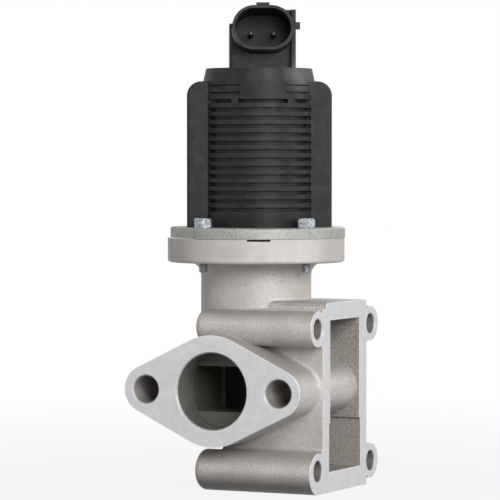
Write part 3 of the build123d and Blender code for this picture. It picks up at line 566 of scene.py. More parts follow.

# %% [markdown]
# The skin's colour is built up in layers, the first ones as the real one was: grain, the lathe's
# clouds on the rim, stains, the core's skin and pits. Over them come painted shade on whatever
# looks up, painted shade on the lowest bosses, and last the edges, lightened as wear and as a
# painted highlight. Each layer is mixed over the one before.
# %% Colours of the casting
skin_tones = (0.455, 0.423, 0.40), (0.715, 0.67, 0.643)
rim_tones = (0.50, 0.468, 0.445), (0.65, 0.608, 0.585)
core_tones = (0.25, 0.222, 0.20), (0.50, 0.46, 0.43)
stain_tone = (0.42, 0.385, 0.36)
pit_tone = (0.14, 0.13, 0.12)
# Painted shade: surfaces that look up are darkened with this tone.
top_shade_tone = (0.22, 0.205, 0.19)
# Painted shade: the lowest bosses are darkened with this tone.
bottom_shade_tone = (0.10, 0.095, 0.088)
# Worn edges with a painted highlight: edges are lightened with this tone.
worn_highlight_tone = (0.76, 0.75, 0.74)
milled_tones = (0.59, 0.595, 0.61), (0.67, 0.67, 0.685)
# Painted highlight: corners of the milled faces are lightened nearly to white.
corner_highlight_tone = (0.92, 0.92, 0.92)
# Painted shade: the walls of the drilled holes are darkened with this tone.
hole_shade_tone = (0.12, 0.115, 0.11)
soot_tones = (0.034, 0.037, 0.027), (0.11, 0.115, 0.088)
grain_range = 0.32, 0.68
turned_size = 9 * mm
turned_stretch = (1, 1, 4)
stain_size = 10 * mm
stain_range = 0.38, 0.68
stain_share = 0.5
top_shade_slopes = 0.30, 0.85
top_shade_share = 0.62
bottom_shade_share = 0.88
bottom_shade_full = 3.0 * mm
bottom_shade_top = 7.6 * mm
worn_highlight_share = 0.35
pass_size = 3.0 * mm
corner_highlight_share = 0.85
hole_shade_share = 0.72
ash_start = 10 * mm
ash_full = 22 * mm


def casting_skin(cast, grain, rim, pits, edge):
    """The colour of the skin: grain, the lathe's, the core's and the stains' layers, then painted
    shade and highlight.
    """
    turned = cast.noise(turned_size, detail=1.0, stretch=turned_stretch)
    stains = cast.noise(stain_size, detail=4.0)
    skin = cast.clouded(grain, *grain_range, skin_tones)
    skin = cast.mix(rim, skin, cast.clouded(turned, *strong_range, rim_tones))
    skin = cast.mix(cast.spread(stains, *stain_range, 0.0, stain_share), skin, stain_tone)
    skin = cast.mix(cored_pocket(cast), skin, cast.clouded(grain, *grain_range, core_tones))
    skin = cast.mix(pits, skin, pit_tone)
    skin = cast.mix(cast.facing_up(*top_shade_slopes, top_shade_share), skin, top_shade_tone)
    bottom_shade = cast.spread(cast.z, body_low.z + bottom_shade_full, body_low.z + bottom_shade_top, bottom_shade_share, 0.0)
    skin = cast.mix(bottom_shade, skin, bottom_shade_tone)
    return cast.mix(cast.times(edge, worn_highlight_share), skin, worn_highlight_tone)


def milled_metal(cast, edge):
    """The colour of milled metal: cooler, clouded by the cutter's passes, with a painted highlight
    at corners.
    """
    bright = cast.clouded(cast.noise(pass_size, detail=3.0), *soft_range, milled_tones)
    return cast.mix(cast.times(edge, corner_highlight_share), bright, corner_highlight_tone)


def hole_shade_and_soot(cast, colour, sooty):
    """A colour with painted shade in the drilled holes, and soot over it, which turns to paler ash
    inside.
    """
    colour = cast.mix(cast.times(drilled_holes(cast), hole_shade_share), colour, hole_shade_tone)
    ash = cast.clouded(cast.y, inlet_face + ash_start, inlet_face + ash_full, soot_tones)
    return cast.mix(sooty, colour, ash)


# The lowest part of the casting is darkened with painted shade.
print("grime on the lowest", round(bottom_shade_top * 1000, 1), "mm of the casting")

# %% [markdown]
# The grain is also relief, which is nearly gone from the skimmed rim, and the cutter's arcs are
# much finer. Milled metal is smoother and more like a mirror than the skin, and soot is not metal.
# %% Casting finish
grain_size = 0.36 * mm
lump_size = 2.4 * mm
grain_share = 0.6
sand_depth = 0.11 * mm
arc_depth = 0.0025 * mm
arc_share = 0.5
corner_radius = 0.35 * mm
edge_mask_radius = 0.6 * mm
edge_mask_lean = 0.86, 0.992
rim_share = 0.75
pit_share = 0.6
skin_roughness = 0.44, 0.58
milled_smoother = -0.12
skin_metal = 0.12
milled_more_metal = 0.48


def casting_relief(cast, grain, lumps, milled, rim, pits):
    """Grain and lumps less the pits on the skin, then the cutter's waves on the milled faces."""
    sand = cast.plus(cast.times(grain, grain_share), cast.times(lumps, 1 - grain_share))
    sand = cast.times(sand, cast.minus(cast.minus(1.0, milled), rim))
    relief = cast.bump(cast.minus(sand, pits), sand_depth, cast.rounded(corner_radius))
    return cast.bump(cast.times(cutter_arcs(cast), milled, arc_share), arc_depth, relief)


def cast_aluminium():
    """Sand-grained aluminium, with milled planes at the manifold, inlet and top faces."""
    cast = Finish("cast_aluminium", (0.5, 0.49, 0.47), roughness=0.5)
    milled, skimmed, sooty = milled_faces(cast), skimmed_rim(cast), gas_soot(cast)
    grain = cast.noise(grain_size, detail=3.0)
    lumps = cast.noise(lump_size, detail=2.0)
    edge = cast.edges(edge_mask_radius, *edge_mask_lean)
    rim = cast.times(skimmed, rim_share)
    pits = cast.times(sand_pits(cast), cast.minus(1.0, skimmed), pit_share)
    skin = casting_skin(cast, grain, rim, pits, edge)
    colour = hole_shade_and_soot(cast, cast.mix(milled, skin, milled_metal(cast, edge)), sooty)
    rough_skin = cast.spread(lumps, *soft_range, *skin_roughness)
    roughness = cast.plus(rough_skin, cast.times(milled, milled_smoother))
    metal = cast.plus(skin_metal, cast.times(milled, milled_more_metal))
    metal = cast.times(metal, cast.minus(1.0, sooty))
    relief = casting_relief(cast, grain, lumps, milled, rim, pits)
    return cast.finish(colour, roughness, relief, metal)


keep("cast_aluminium", cast_aluminium())

# %% [markdown]
# ## Zinc
# The plate is thick zinc-plated sheet: a greenish satin grey whose crystals catch the light in
# specks. Cells make the crystals, because their edges are sharp where noise would be soft. The
# bolts are plated too, but brighter and bluer, with rubbed flats.
# %% Zinc finishes
crystal_size = 0.7 * mm
crystal_bright = 0.15, 0.75
crystal_rough = 0.1, 0.8
crystal_share = 0.6
plate_cloud = 6 * mm
plate_grain = 0.5 * mm
plate_relief = 0.07 * mm
plate_tones = (0.215, 0.230, 0.203), (0.30, 0.31, 0.28)
crystal_tone = (0.52, 0.53, 0.485)
# Painted highlight: the plate's edges are lightened with this tone.
plate_edge_highlight_tone = (0.66, 0.67, 0.62)
plate_edge_highlight_share = 0.5
plate_edge_radius = 0.3 * mm
plate_roughness = 0.38, 0.60
bolt_tones = (0.17, 0.20, 0.225), (0.47, 0.505, 0.535)
bolt_roughness = 0.22, 0.48
bolt_rub = 0.9 * mm
bolt_rub_range = 0.35, 0.62
bolt_relief = 0.03 * mm


def zinc_plate():
    """Satin zinc with a fine spangle and a painted highlight on its edges."""
    zinc = Finish("zinc_plate", (0.5, 0.52, 0.47), metallic=0.3, roughness=0.4)
    distance, _ = zinc.cells(crystal_size)
    specks = zinc.times(zinc.spread(distance, *crystal_bright, 0.0, 1.0), crystal_share)
    base = zinc.clouded(zinc.noise(plate_cloud, detail=4.0), *strong_range, plate_tones)
    colour = zinc.mix(specks, base, crystal_tone)
    edge = zinc.edges(plate_edge_radius, *edge_lean)
    colour = zinc.mix(zinc.times(edge, plate_edge_highlight_share), colour, plate_edge_highlight_tone)
    roughness = zinc.spread(distance, *crystal_rough, *plate_roughness)
    grain = zinc.noise(plate_grain, detail=2.0)
    relief = zinc.bump(grain, plate_relief, zinc.rounded(plate_edge_radius))
    return zinc.finish(colour, roughness, relief)


def bright_zinc():
    """Bright bluish plating with rubbed flats."""
    zinc = Finish("zinc_bolt", (0.66, 0.70, 0.74), metallic=0.75, roughness=0.3)
    rub = zinc.noise(bolt_rub, detail=4.0)
    colour = zinc.clouded(rub, *bolt_rub_range, bolt_tones)
    roughness = zinc.spread(rub, *soft_range, *bolt_roughness)
    return zinc.finish(colour, roughness, zinc.bump(rub, bolt_relief))


keep("zinc_plate", zinc_plate())
keep("zinc_bolt", bright_zinc())

# %% [markdown]
# ## Black moulded plastic
# The cover is glass-filled plastic with a spark-eroded texture. It is nearly black, a little
# shiny, with a painted sheen on its edges, and dusty in places. The inside of the socket is
# darkened with painted shade, so the finish has to know where that is: a slot that leans with the
# socket's own axis, which the record gives.
# %% Inside the socket
socket_mouth = Vector(mounts["plug_socket"]["pos_m"])
socket_axis = Vector(mounts["plug_socket"]["axis"])
socket_side = Vector((0, 0, 1)).cross(socket_axis).normalized()
socket_rise = socket_axis.cross(socket_side)
socket_straight = 2.75 * mm
socket_reach = 6.9 * mm
socket_skin = 0.4 * mm
socket_floor = 14.6 * mm


def socket_inside(plastic):
    """1 on the socket's inner walls and floor.

    The opening is a slot with round ends. A point is inside where it lies less than the slot's
    half height from the line between the middles of those ends, and between mouth and floor.
    """
    depth = plastic.along(socket_axis, socket_mouth)
    aside = plastic.step("ABSOLUTE", plastic.along(socket_side, socket_mouth))
    past_end = plastic.larger(plastic.minus(aside, socket_straight), 0.0)
    rise = plastic.along(socket_rise, socket_mouth)
    in_slot = plastic.within(past_end, rise, 0.0, 0.0, socket_reach)
    behind = plastic.below(depth, -socket_skin)
    return plastic.times(in_slot, behind, plastic.above(depth, -socket_floor))


print("socket mouth at", [round(v, 4) for v in socket_mouth])

# %% [markdown]
# Painted shade darkens the lower corners of the grooves between the fins and their right ends. The
# fins are evenly spaced, so one groove's pattern is repeated by the remainder after whole pitches.
# %% Painted shade between the fins
fin_foot = 5.3 * mm
fin_pitch = 2.74 * mm
fin_gap = 1.35 * mm
fin_stack = 38.3 * mm
corner_start, corner_end = 0.06, 0.16
groove_radius = 18.1 * mm
groove_end_start = 10.5 * mm
groove_end_full = 13.5 * mm


def groove_shade(plastic):
    """Painted shade from 0 to 1 in each groove's lower corner and right end.

    A point is in a groove where it lies nearer the axis than the fins' faces, at a height whose
    remainder after whole pitches is less than the gap between two fins.
    """
    over_foot = plastic.minus(plastic.z, plate_top + fin_foot - cut_reach)
    remainder = plastic.step("FRACT", plastic.step("DIVIDE", over_foot, fin_pitch))
    corner = plastic.spread(remainder, corner_start, corner_end, 1.0, 0.0)
    in_gap = plastic.below(remainder, (fin_gap + 2 * cut_reach) / fin_pitch)
    aside = plastic.along(socket_side, Vector((stem_x, stem_y, 0)))
    right_end = plastic.spread(aside, groove_end_start, groove_end_full, 0.0, 1.0)
    groove_dark = plastic.larger(corner, plastic.times(right_end, in_gap))
    in_stack = plastic.near(over_foot, fin_stack / 2, fin_stack / 2)
    in_groove = plastic.within(plastic.x, plastic.y, stem_x, stem_y, groove_radius)
    return plastic.times(groove_dark, in_stack, in_groove)


print("grooves:", round(fin_stack / fin_pitch), "from height", round(plate_top + fin_foot, 4))

# %% [markdown]
# A painted highlight lies on one patch of the collar beside the right wing. The distance from one
# point of the surface gives it a soft edge all round, which a box or a band would not. The foot
# of the cover is darkened with painted shade.
# %% Painted highlight and shade on the cover
highlight_reach = 8.0 * mm
highlight_turn = math.radians(-15.0)
highlight_rise = 50.5 * mm
highlight_core = 0.25
collar_radius = 17.8 * mm
foot_radius = 18.9 * mm
foot_dark = 2.5 * mm
foot_top = 6.0 * mm
foot_shade_share = 0.7


def highlight_patch(plastic):
    """1 at the patch's middle, falling to 0 at its reach: a distance from a point on the collar."""
    middle = (
        stem_x + collar_radius * math.cos(highlight_turn),
        stem_y + collar_radius * math.sin(highlight_turn),
        plate_top + highlight_rise,
    )
    gap = plastic.measure("DISTANCE", plastic.place, middle)
    return plastic.spread(gap, highlight_core * highlight_reach, highlight_reach, 1.0, 0.0)


def foot_shade(plastic):
    """A share that falls to 0 above the foot, inside a cylinder that leaves out the wings."""
    core = plastic.within(plastic.x, plastic.y, stem_x, stem_y, foot_radius)
    low, high = plate_top + foot_dark, plate_top + foot_top
    return plastic.times(core, plastic.spread(plastic.z, low, high, foot_shade_share, 0.0))


# The rubbed patch is a painted highlight.
print("rubbed patch at height", round(plate_top + highlight_rise, 4))

# %% [markdown]
# The places come together in one recipe. Black plastic looks grey as soon as it mirrors too much,
# so the shader's specular level is low, and the tones are only slightly apart.
# %% Plastic finish
plastic_tones = (0.0160, 0.0165, 0.0160), (0.027, 0.0265, 0.0250)
plastic_dust_tone = (0.060, 0.059, 0.055)
# Painted highlight: the patch on the collar is lightened with this tone.
highlight_tone = (0.125, 0.122, 0.122)
# Painted sheen: edges of the cover are lightened with this tone.
plastic_edge_sheen_tone = (0.08, 0.08, 0.08)
# Painted shade: the foot of the cover is darkened with this tone.
foot_shade_tone = (0.007, 0.007, 0.007)
# Painted shade: the grooves' lower corners and right ends are darkened with this tone.
groove_shade_tone = (0.004, 0.004, 0.004)
groove_shade_share = 0.85
# Painted shade: the inside of the socket is darkened with this tone.
socket_shade_tone = (0.004, 0.004, 0.005)
socket_shade_share = 0.8
specular_level = 0.18
plastic_roughness = 0.40, 0.54
texture_size = 0.28 * mm
texture_depth = 0.04 * mm
flow_size = 9 * mm
flow_stretch = (1, 1, 2.5)
dust_size = 3.5 * mm
dust_range = 0.45, 0.75
highlight_break_range = 0.25, 0.6
least_highlight = 0.55
plastic_dust_share = 0.50
plastic_edge_sheen_share = 0.4
plastic_edge_radius = 0.35 * mm
moulded_radius = 0.25 * mm


def black_plastic():
    """Charcoal plastic with a fine moulded texture, faint flow marks, dust, painted sheen, highlight
    and shade.
    """
    plastic = Finish("black_plastic", (0.015, 0.015, 0.015), roughness=0.45)
    plastic.shader.inputs["Specular IOR Level"].default_value = specular_level
    texture = plastic.noise(texture_size, detail=2.0)
    flow = plastic.noise(flow_size, detail=3.0, stretch=flow_stretch)
    dust = plastic.noise(dust_size, detail=5.0)
    colour = plastic.clouded(flow, *soft_range, plastic_tones)
    dusty = plastic.spread(dust, *dust_range, 0.0, plastic_dust_share)
    colour = plastic.mix(dusty, colour, plastic_dust_tone)
    # Painted highlight on the collar, broken up by the dust noise.
    rubbed = plastic.times(highlight_patch(plastic), plastic.spread(dust, *highlight_break_range, least_highlight, 1.0))
    colour = plastic.mix(rubbed, colour, highlight_tone)
    edge = plastic.edges(plastic_edge_radius, *edge_lean)
    colour = plastic.mix(plastic.times(edge, plastic_edge_sheen_share), colour, plastic_edge_sheen_tone)
    colour = plastic.mix(foot_shade(plastic), colour, foot_shade_tone)
    colour = plastic.mix(plastic.times(groove_shade(plastic), groove_shade_share), colour, groove_shade_tone)
    colour = plastic.mix(plastic.times(socket_inside(plastic), socket_shade_share), colour, socket_shade_tone)
    roughness = plastic.spread(flow, *soft_range, *plastic_roughness)
    relief = plastic.bump(texture, texture_depth, plastic.rounded(moulded_radius))
    return plastic.finish(colour, roughness, relief)


keep("black_plastic", black_plastic())

# %% [markdown]
# ## Turned and drawn metal inside
# The working pieces are hidden in the assembled valve, but each still gets its own finish, so
# the valve looks right when it is taken apart. Turned metal shows fine rings along its axis. A
# Wave texture would draw them all alike, so they are noise, stretched far across the axis.
# Stainless pieces below the stem's guide are black with soot.
# %% Metal finishes
ring_size = 0.25 * mm
ring_stretch = (40, 40, 1)
ring_depth = 0.006 * mm
metal_cloud = 4 * mm
smoother, rougher = -0.06, 0.10
inner_soot_tone = (0.030, 0.029, 0.025)
inner_soot_share = 0.95
inner_soot_rougher = 0.4
soot_fade = 1 * mm
turned_plan = {
    # slot: (dark tone, light tone, roughness, height of the soot's top or none)
    "stainless": ((0.38, 0.37, 0.36), (0.48, 0.475, 0.465), 0.32, guide_foot),
    "spring_steel": ((0.24, 0.235, 0.235), (0.34, 0.34, 0.35), 0.34, None),
    "magnet_iron": ((0.29, 0.285, 0.28), (0.38, 0.375, 0.37), 0.38, None),
    "bronze": ((0.40, 0.28, 0.14), (0.52, 0.38, 0.21), 0.42, None),
    "brass_tube": ((0.54, 0.40, 0.18), (0.66, 0.52, 0.27), 0.28, None),
    "copper_wire": ((0.50, 0.17, 0.07), (0.72, 0.32, 0.15), 0.25, None),
    # The tinned pins' dark tones are painted shade: tinned pins are pale, bright metal.
    "tinned_pin": ((0.055, 0.052, 0.046), (0.10, 0.096, 0.086), 0.5, None),
}


def turned_metal(name, dark, light, roughness, soot_top):
    """Metal from a lathe: fine rings along the axis, slow clouds, and soot below a height."""
    metal = Finish(name, light, metallic=1.0, roughness=roughness)
    rings = metal.noise(ring_size, detail=2.0, stretch=ring_stretch)
    colour = metal.clouded(metal.noise(metal_cloud, detail=3.0), *strong_range, (dark, light))
    wear = metal.spread(rings, *soft_range, roughness + smoother, roughness + rougher)
    if soot_top is not None:
        low, high = soot_top - soot_fade, soot_top + soot_fade
        soot = metal.spread(metal.z, low, high, inner_soot_share, 0.0)
        colour = metal.mix(soot, colour, inner_soot_tone)
        wear = metal.plus(wear, metal.times(soot, inner_soot_rougher))
    return metal.finish(colour, wear, metal.bump(rings, ring_depth))


for slot, plan in turned_plan.items():
    keep(slot, turned_metal(slot, *plan))

# %% [markdown]
# ## Rubber, gasket sheet and the bobbin
# Rubber and coated gasket sheet are black with a dusty skin. The bobbin is uncoloured plastic,
# which lets a little light in, so the shader's subsurface part gives it a milky look.
# %% Rubber and bobbin finishes
rubber_dust = 2.2
rubber_dust_size = 1.5 * mm
rubber_dust_range = 0.4, 0.7
rubber_dust_share = 0.5
rubber_relief = 0.03 * mm
rubber_roughness = 0.6, 0.8
bobbin_tones = (0.70, 0.65, 0.52), (0.80, 0.77, 0.66)
bobbin_milk = 0.15
bobbin_light_reach = (0.002, 0.0015, 0.001)
bobbin_roughness = 0.3, 0.42
bobbin_cloud = 5 * mm
bobbin_relief = 0.02 * mm


def plain_rubber(name, tone):
    """Black rubber or coated gasket sheet with a dusty skin."""
    rubber = Finish(name, (tone, tone, tone), roughness=0.7)
    dust = rubber.noise(rubber_dust_size, detail=4.0)
    share = rubber.spread(dust, *rubber_dust_range, 0.0, rubber_dust_share)
    colour = rubber.mix(share, (tone,) * 3, (tone * rubber_dust,) * 3)
    roughness = rubber.spread(dust, *soft_range, *rubber_roughness)
    return rubber.finish(colour, roughness, rubber.bump(dust, rubber_relief))


def natural_plastic():
    """The bobbin's uncoloured plastic: milky, slightly see-through and smooth."""
    plastic = Finish("bobbin_plastic", (0.74, 0.70, 0.58), roughness=0.35)
    plastic.shader.inputs["Subsurface Weight"].default_value = bobbin_milk
    plastic.shader.inputs["Subsurface Radius"].default_value = bobbin_light_reach
    cloud = plastic.noise(bobbin_cloud, detail=3.0)
    colour = plastic.clouded(cloud, *soft_range, bobbin_tones)
    roughness = plastic.spread(cloud, *soft_range, *bobbin_roughness)
    return plastic.finish(colour, roughness, plastic.bump(cloud, bobbin_relief))


for slot, tone in (("gasket_black", 0.02), ("seal_rubber", 0.028)):
    keep(slot, plain_rubber(slot, tone))
keep("bobbin_plastic", natural_plastic())

# %% [markdown]
# ## Dress the pieces that stay as they are
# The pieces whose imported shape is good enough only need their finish, so one loop hands it out.
# %% Hand out the finishes
for part in frame["record"]["subparts"]:
    piece = nodes[part["node"]]
    finish = materials[part["material_slot"]]
    if not piece.material_slots:
        piece.data.materials.append(finish)
    for slot in piece.material_slots:
        slot.material = finish

# %% [markdown]
# ## Words for making meshes
# A new piece is a surface worked out as an array of points, rows along the piece and columns
# round it. A shell is that surface's points, its four-sided faces and its triangles, and several
# shells can be joined into one mesh. Working with whole arrays is much faster than adding faces
# one by one, and the shape stays a formula that can be read.
# %% Turn grids of points into shells


def grid_quads(rows, columns, rows_join):
    """Point numbers of the four corners of each cell. Columns join up, and rows may too.

    A point's number is its row times the number of columns, plus its column.
    """
    column = np.arange(columns)
    after = (column + 1) % columns
    row = np.arange(rows if rows_join else rows - 1)[:, None]
    here, above = row * columns, (row + 1) % rows * columns
    corners = [here + column, here + after, above + after, above + column]
    return np.stack(corners, axis=-1).reshape(-1, 4)


def closed_shell(points):
    """A shell whose first and last rows shrink to poles at their mean points.

    Columns go anticlockwise seen from the last row's end, so that the faces look outwards.
    """
    rows, columns = points.shape[:2]
    poles = points[[0, -1]].mean(axis=1)
    vertices = np.concatenate([points[1:-1].reshape(-1, 3), poles])
    column = np.arange(columns)
    after = (column + 1) % columns
    end = (rows - 3) * columns
    first, last = (rows - 2) * columns, (rows - 2) * columns + 1
    low_fan = np.stack([np.full(columns, first), after, column], axis=-1)
    high_fan = np.stack([np.full(columns, last), end + column, end + after], axis=-1)
    return vertices, grid_quads(rows - 2, columns, False), np.concatenate([low_fan, high_fan])


def join_shells(shells):
    """One shell from several: their points in turn, with the faces' numbers moved along."""
    starts = np.cumsum([0] + [len(shell[0]) for shell in shells[:-1]])
    vertices = np.concatenate([shell[0] for shell in shells])
    quads = np.concatenate([shell[1] + start for shell, start in zip(shells, starts)])
    triangles = np.concatenate([shell[2] + start for shell, start in zip(shells, starts)])
    return vertices, quads, triangles


print("a grid of 3 rows and 4 columns has", len(grid_quads(3, 4, False)), "faces")

# %% [markdown]
# A shell becomes a mesh in one step, because from_pydata takes all points and faces at once. The
# new piece then rides on a body, wears its slot's finish and stands for the imported pieces that it
# replaces.
# %% Put a new piece into the scene


def mesh_from_shell(name, shell, smooth=True):
    """A mesh with the shell's points and faces."""
    vertices, quads, triangles = shell
    mesh = bpy.data.meshes.new(name)
    mesh.from_pydata(vertices.tolist(), [], quads.tolist() + triangles.tolist())
    mesh.polygons.foreach_set("use_smooth", np.full(len(mesh.polygons), smooth))
    mesh.update()
    print(name, "has", len(mesh.polygons), "faces")
    return mesh


def add_piece(mesh, body, slot, *stands_for):
    """A finished mesh that rides on a body, with its slot's finish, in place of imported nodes."""
    piece = bpy.data.objects.new(mesh.name, mesh)
    bpy.context.scene.collection.objects.link(piece)
    mesh.materials.append(materials[slot])
    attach(piece, body)
    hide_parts(*stands_for)
    return piece


# %% [markdown]
# ## Bolts
# Four M3 bolts with 5.5 mm hexagon heads hold the plate down, and their threaded ends show under
# the flange. They are cold-headed and rolled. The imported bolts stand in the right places, so their
# axes are read from them before they are replaced.
# %% Find the bolts' axes
tip_reach = 0.01 * mm
turn_jump = 0.5


def bolt_centres():
    """The middle of each bolt's end.

    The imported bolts' lowest points are put in order of their angle round the column, split
    where that angle jumps to the next bolt, and each group's mean is one middle.
    """
    mesh = nodes["housing_bolts"].data
    places = np.empty(3 * len(mesh.vertices))
    mesh.vertices.foreach_get("co", places)
    places = places.reshape(-1, 3)
    tips = places[places[:, 2] < bolts_low.z + tip_reach]
    turn = np.arctan2(tips[:, 1], tips[:, 0] - column_x)
    order = np.argsort(turn)
    gaps = np.diff(turn[order])
    groups = np.split(tips[order], np.flatnonzero(gaps > turn_jump) + 1)
    return [group[:, :2].mean(axis=0) for group in groups]


bolt_axes = bolt_centres()
print("bolts at", [axis.round(4).tolist() for axis in bolt_axes])

# %% [markdown]
# A real head keeps a round washer face below and a turned crown above its six flats. Each bolt
# could be joined from a prism, a cone and a coil, but one surface whose radius depends on height
# and angle gives flats, crown and thread with nothing to join.
# %% Shape of a bolt
head_height = 3.2 * mm
head_flat = 2.75 * mm
washer_height = 0.25 * mm
washer_share = 0.96
crown_start = 2.55 * mm
crown_radius = 2.55 * mm
crown_slope = 1.2
thread_radius = 1.5 * mm
thread_depth = 0.28 * mm
thread_pitch = 0.5 * mm
thread_length = 9.0 * mm
tip_share = 0.72


def bolt_radius(height, turn):
    """The radius at a height over the plate and an angle.

    On the head it is the hexagon, half its width over the cosine of the angle from the nearest
    flat's middle, cut by the crown's cone. Below, it is the shank less the thread's groove, which
    is a triangular wave of the height less one pitch for each turn. The groove fades out at the
    top of the thread, and the tip is a cone that widens as fast as it rises.
    """
    from_flat = (turn + math.pi / 6) % (math.pi / 3) - math.pi / 6
    hexagon = head_flat / np.cos(from_flat)
    crown = crown_radius + (head_height - height) * crown_slope
    head = np.minimum(hexagon, np.where(height > crown_start, crown, hexagon))
    washer = np.full_like(turn, head_flat * washer_share)
    wave = (height / thread_pitch - turn / (2 * math.pi)) % 1
    groove = thread_depth * np.abs(2 * wave - 1)
    above_tip = height - (bolts_low.z - plate_top)
    threaded = np.clip((thread_length - above_tip) / thread_pitch, 0, 1)
    shank = thread_radius - groove * threaded
    shank = np.minimum(shank, thread_radius * tip_share + above_tip)
    return np.where(height < 0, shank, np.where(height < washer_height, washer, head))


corner = bolt_radius(np.array([crown_start]), np.array([math.pi / 6]))[0]
print("head across corners", round(2 * corner / mm, 2), "mm")

# %% [markdown]
# The rows lie close along the thread and far apart on the plain head. Where the radius jumps, at
# the plate and at the washer face, two rows lie almost on each other and make the flat step. Each
# bolt is turned by its own angle, as a hand with a spanner leaves them.
# %% Make the bolts
bolt_columns = 96
row_step = 0.05 * mm
first_row = 0.06 * mm
crown_rows = 6
jump = 1e-7
bolt_turns = (0.35, 0.62, 0.05, 0.86)


def bolt_points(centre, start_turn):
    """Rows of points from the tip to the crown: the radius carried round the bolt's axis."""
    tip = bolts_low.z - plate_top
    heights = np.concatenate([
        [tip, tip],
        np.arange(tip + first_row, tip + thread_length, row_step),
        [-jump, jump, washer_height - jump, washer_height + jump, crown_start],
        np.linspace(crown_start + 2 * row_step, head_height, crown_rows),
        [head_height],
    ])
    turn = np.linspace(0, 2 * math.pi, bolt_columns, endpoint=False)
    height, turn = np.meshgrid(heights, turn, indexing="ij")
    radius = bolt_radius(height, turn)
    radius[[0, -1]] = 0
    x = centre[0] + radius * np.cos(turn + start_turn)
    y = centre[1] + radius * np.sin(turn + start_turn)
    return np.stack([x, y, plate_top + height], axis=-1)


bolt_shells = [closed_shell(bolt_points(axis, turn)) for axis, turn in zip(bolt_axes, bolt_turns)]
hex_bolts = mesh_from_shell("hex_bolts", join_shells(bolt_shells), smooth=False)
add_piece(hex_bolts, "housing", "zinc_bolt", "housing_bolts")

# %% [markdown]
# ## Return spring
# A closing spring is coiled from round wire. Its end coils lie close and are ground flat, so that
# it stands square on its seat. A Screw modifier would give every turn the same pitch. Here the
# surface is a circle carried along the coil, so its rise can slow down at both ends, and the
# grinding is a plain limit on its height.
# %% Make the spring
wire_radius = 0.6 * mm
coil_radius = (spring_high.x - spring_low.x) / 2 - wire_radius
coil_turns = 7.5
close_turns = 0.5
end_pace = 0.22
ground_share = 0.55
coil_rows = 900
wire_columns = 16


def spring_points():
    """A circle of wire carried along a coil whose rise is slow in its first and last turns.

    The rise over one turn goes from the end coils' slow pace to an even one by a smooth step,
    which takes one turn: three times its square less twice its cube. The heights add up that
    pace, and the surface is held between the two ground faces.
    """
    turn = np.linspace(0, coil_turns, coil_rows)
    step = np.clip(np.minimum(turn, coil_turns - turn) - close_turns, 0, 1)
    pace = end_pace + (1 - end_pace) * step * step * (3 - 2 * step)
    rise = np.concatenate([[0], np.cumsum((pace[1:] + pace[:-1]) / 2)])
    travel = spring_high.z - spring_low.z - 2 * ground_share * wire_radius
    height = spring_low.z + ground_share * wire_radius + travel * rise / rise[-1]
    angle = (turn * 2 * math.pi)[:, None]
    round_wire = np.linspace(0, 2 * math.pi, wire_columns, endpoint=False)[None, :]
    thickness = np.full((coil_rows, 1), wire_radius)
    thickness[[0, -1]] = 0
    radius = coil_radius + thickness * np.cos(round_wire)
    z = height[:, None] + thickness * np.sin(round_wire)
    z = np.clip(z, spring_low.z, spring_high.z)
    return np.stack([stem_x + radius * np.cos(angle), stem_y + radius * np.sin(angle), z], axis=-1)


closing_spring = mesh_from_shell("closing_spring", closed_shell(spring_points()[:, ::-1]))
spring = add_piece(closing_spring, "housing", "spring_steel", "return_spring")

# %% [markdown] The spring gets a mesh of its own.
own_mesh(spring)

# %% [markdown]
# ## Coil
# The magnet's coil is enamelled copper wire, wound in layers. A circle carried along every turn
# would need far more faces than the rest of the valve, and only the outer layer can be seen. So
# the piece is a ring whose outside is a row of half-round wires. Each wire climbs by one pitch a
# turn, which is why the wave joins up with itself round the ring.
# %% Wind the coil
coil_low, coil_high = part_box("coil_winding")
bore_gap = 1.2 * mm
coil_outer = (coil_high.x - coil_low.x) / 2
coil_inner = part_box("armature_sleeve")[1].x - stem_x + bore_gap
wire_pitch = 0.62 * mm
wire_roundness = 0.96
rows_per_wire = 8
coil_columns = 160


def ring_shell(points):
    """A shell like a ring: the rows join up as well as the columns."""
    rows, columns = points.shape[:2]
    return points.reshape(-1, 3), grid_quads(rows, columns, True), np.zeros((0, 3), int)


def coil_points():
    """The ring's outline, carried round: wires outside, a smooth bore inside, flat ends.

    Outside, the radius falls from the crest by a share of half the pitch that follows a circle
    across each wire: one less the root of one less the square of the distance from its middle.
    The square is made a little smaller, so that the dip between two wires isn't too sharp.
    """
    rows = int((coil_high.z - coil_low.z) / wire_pitch * rows_per_wire)
    height = np.linspace(coil_low.z, coil_high.z, rows)[:, None]
    turn = np.linspace(0, 2 * math.pi, coil_columns, endpoint=False)[None, :]
    across = 2 * ((height / wire_pitch - turn / (2 * math.pi)) % 1) - 1
    sink = (1 - np.sqrt(1 - wire_roundness * across ** 2)) * wire_pitch / 2
    outer = coil_outer - sink
    inner = np.full((2, coil_columns), coil_inner)
    radius = np.concatenate([inner[:1], outer, inner[1:]])
    level = np.concatenate([[[coil_low.z]], height, [[coil_high.z]]])
    x = stem_x + radius * np.cos(turn)
    y = stem_y + radius * np.sin(turn)
    return np.stack([x, y, np.broadcast_to(level, radius.shape)], axis=-1)


wound_coil = mesh_from_shell("wound_coil", ring_shell(coil_points()), smooth=False)
add_piece(wound_coil, "housing", "copper_wire", "coil_winding")

# %% [markdown]
# ## Floor
# A wide disc lies just under the casting. It is round, so that no corner or edge can come into
# view on one side sooner than on another.
# %% Shape of the floor
floor_drop = 0.05 * mm
floor_height = body_low.z - floor_drop
floor_radius = 3.0
floor_rings = 24
floor_columns = 96


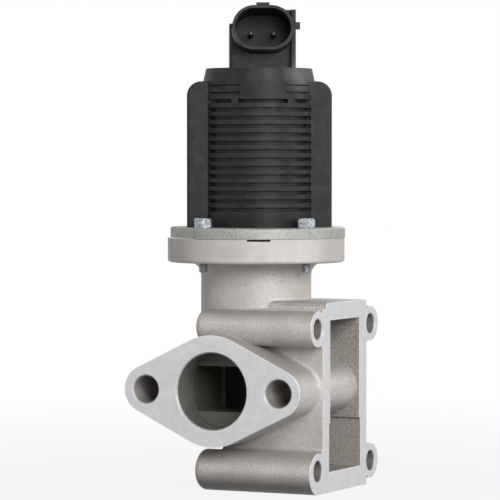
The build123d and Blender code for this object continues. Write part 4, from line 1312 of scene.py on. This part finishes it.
def floor_points(rings, columns):
    """A flat disc: the radius grows with the square of the row, so rows crowd near the middle."""
    reach = floor_radius * np.linspace(0, 1, rings)[:, None] ** 2
    turn = np.linspace(0, 2 * np.pi, columns, endpoint=False)[None, :]
    x = column_x + reach * np.cos(turn)
    y = reach * np.sin(turn)
    return np.stack([x, y, np.full_like(x, floor_height)], axis=-1)


def floor_mesh(points):
    """Faces between the rings, and a fan of triangles in the middle. They look upwards."""
    rows, columns = points.shape[:2]
    column = np.arange(columns)
    fan = np.stack([np.zeros(columns, int), 1 + column, 1 + (column + 1) % columns], axis=-1)
    quads = 1 + grid_quads(rows - 1, columns, False)[:, ::-1]
    vertices = np.concatenate([points[0, :1], points[1:].reshape(-1, 3)])
    return mesh_from_shell("floor", (vertices, quads, fan), smooth=False)


floor = bpy.data.objects.new("floor", floor_mesh(floor_points(floor_rings, floor_columns)))
bpy.context.scene.collection.objects.link(floor)

# %% [markdown]
# The floor's grey throws little light up at the valve. Where the camera or a mirror looks at it,
# it is mixed with plain white: near the valve the mix keeps a faint shadow, and far away it is as
# white as the surround, so that no horizon shows.
# %% Colour the floor
floor_grey = 0.22
floor_near, floor_far = 0.08, 0.38
near_white, far_white = 0.88, 1.0


def floor_finish():
    """Matt grey, mixed with plain white for the camera and mirrors, wholly so far away."""
    paper = Finish("floor", (floor_grey, floor_grey, floor_grey), roughness=0.9)
    reach = paper.step("SQRT", paper.squares(paper.minus(paper.x, column_x), paper.y))
    away = paper.spread(reach, floor_near, floor_far, near_white, far_white)
    glow = paper.tree.nodes.new("ShaderNodeEmission")
    blend = paper.tree.nodes.new("ShaderNodeMixShader")
    paper.wire(paper.times(seen_directly(paper.tree), away), blend.inputs[0])
    paper.wire(paper.shader.outputs[0], blend.inputs[1])
    paper.wire(glow.outputs[0], blend.inputs[2])
    paper.wire(blend.outputs[0], paper.tree.nodes["Material Output"].inputs["Surface"])
    return paper.material


floor.data.materials.append(floor_finish())
print("floor at", round(floor_height, 5))

# %% [markdown]
# ## Close the lesson
# The picture is shown with plain colours.
# %% Finish
bpy.context.scene.view_settings.view_transform = "Standard"
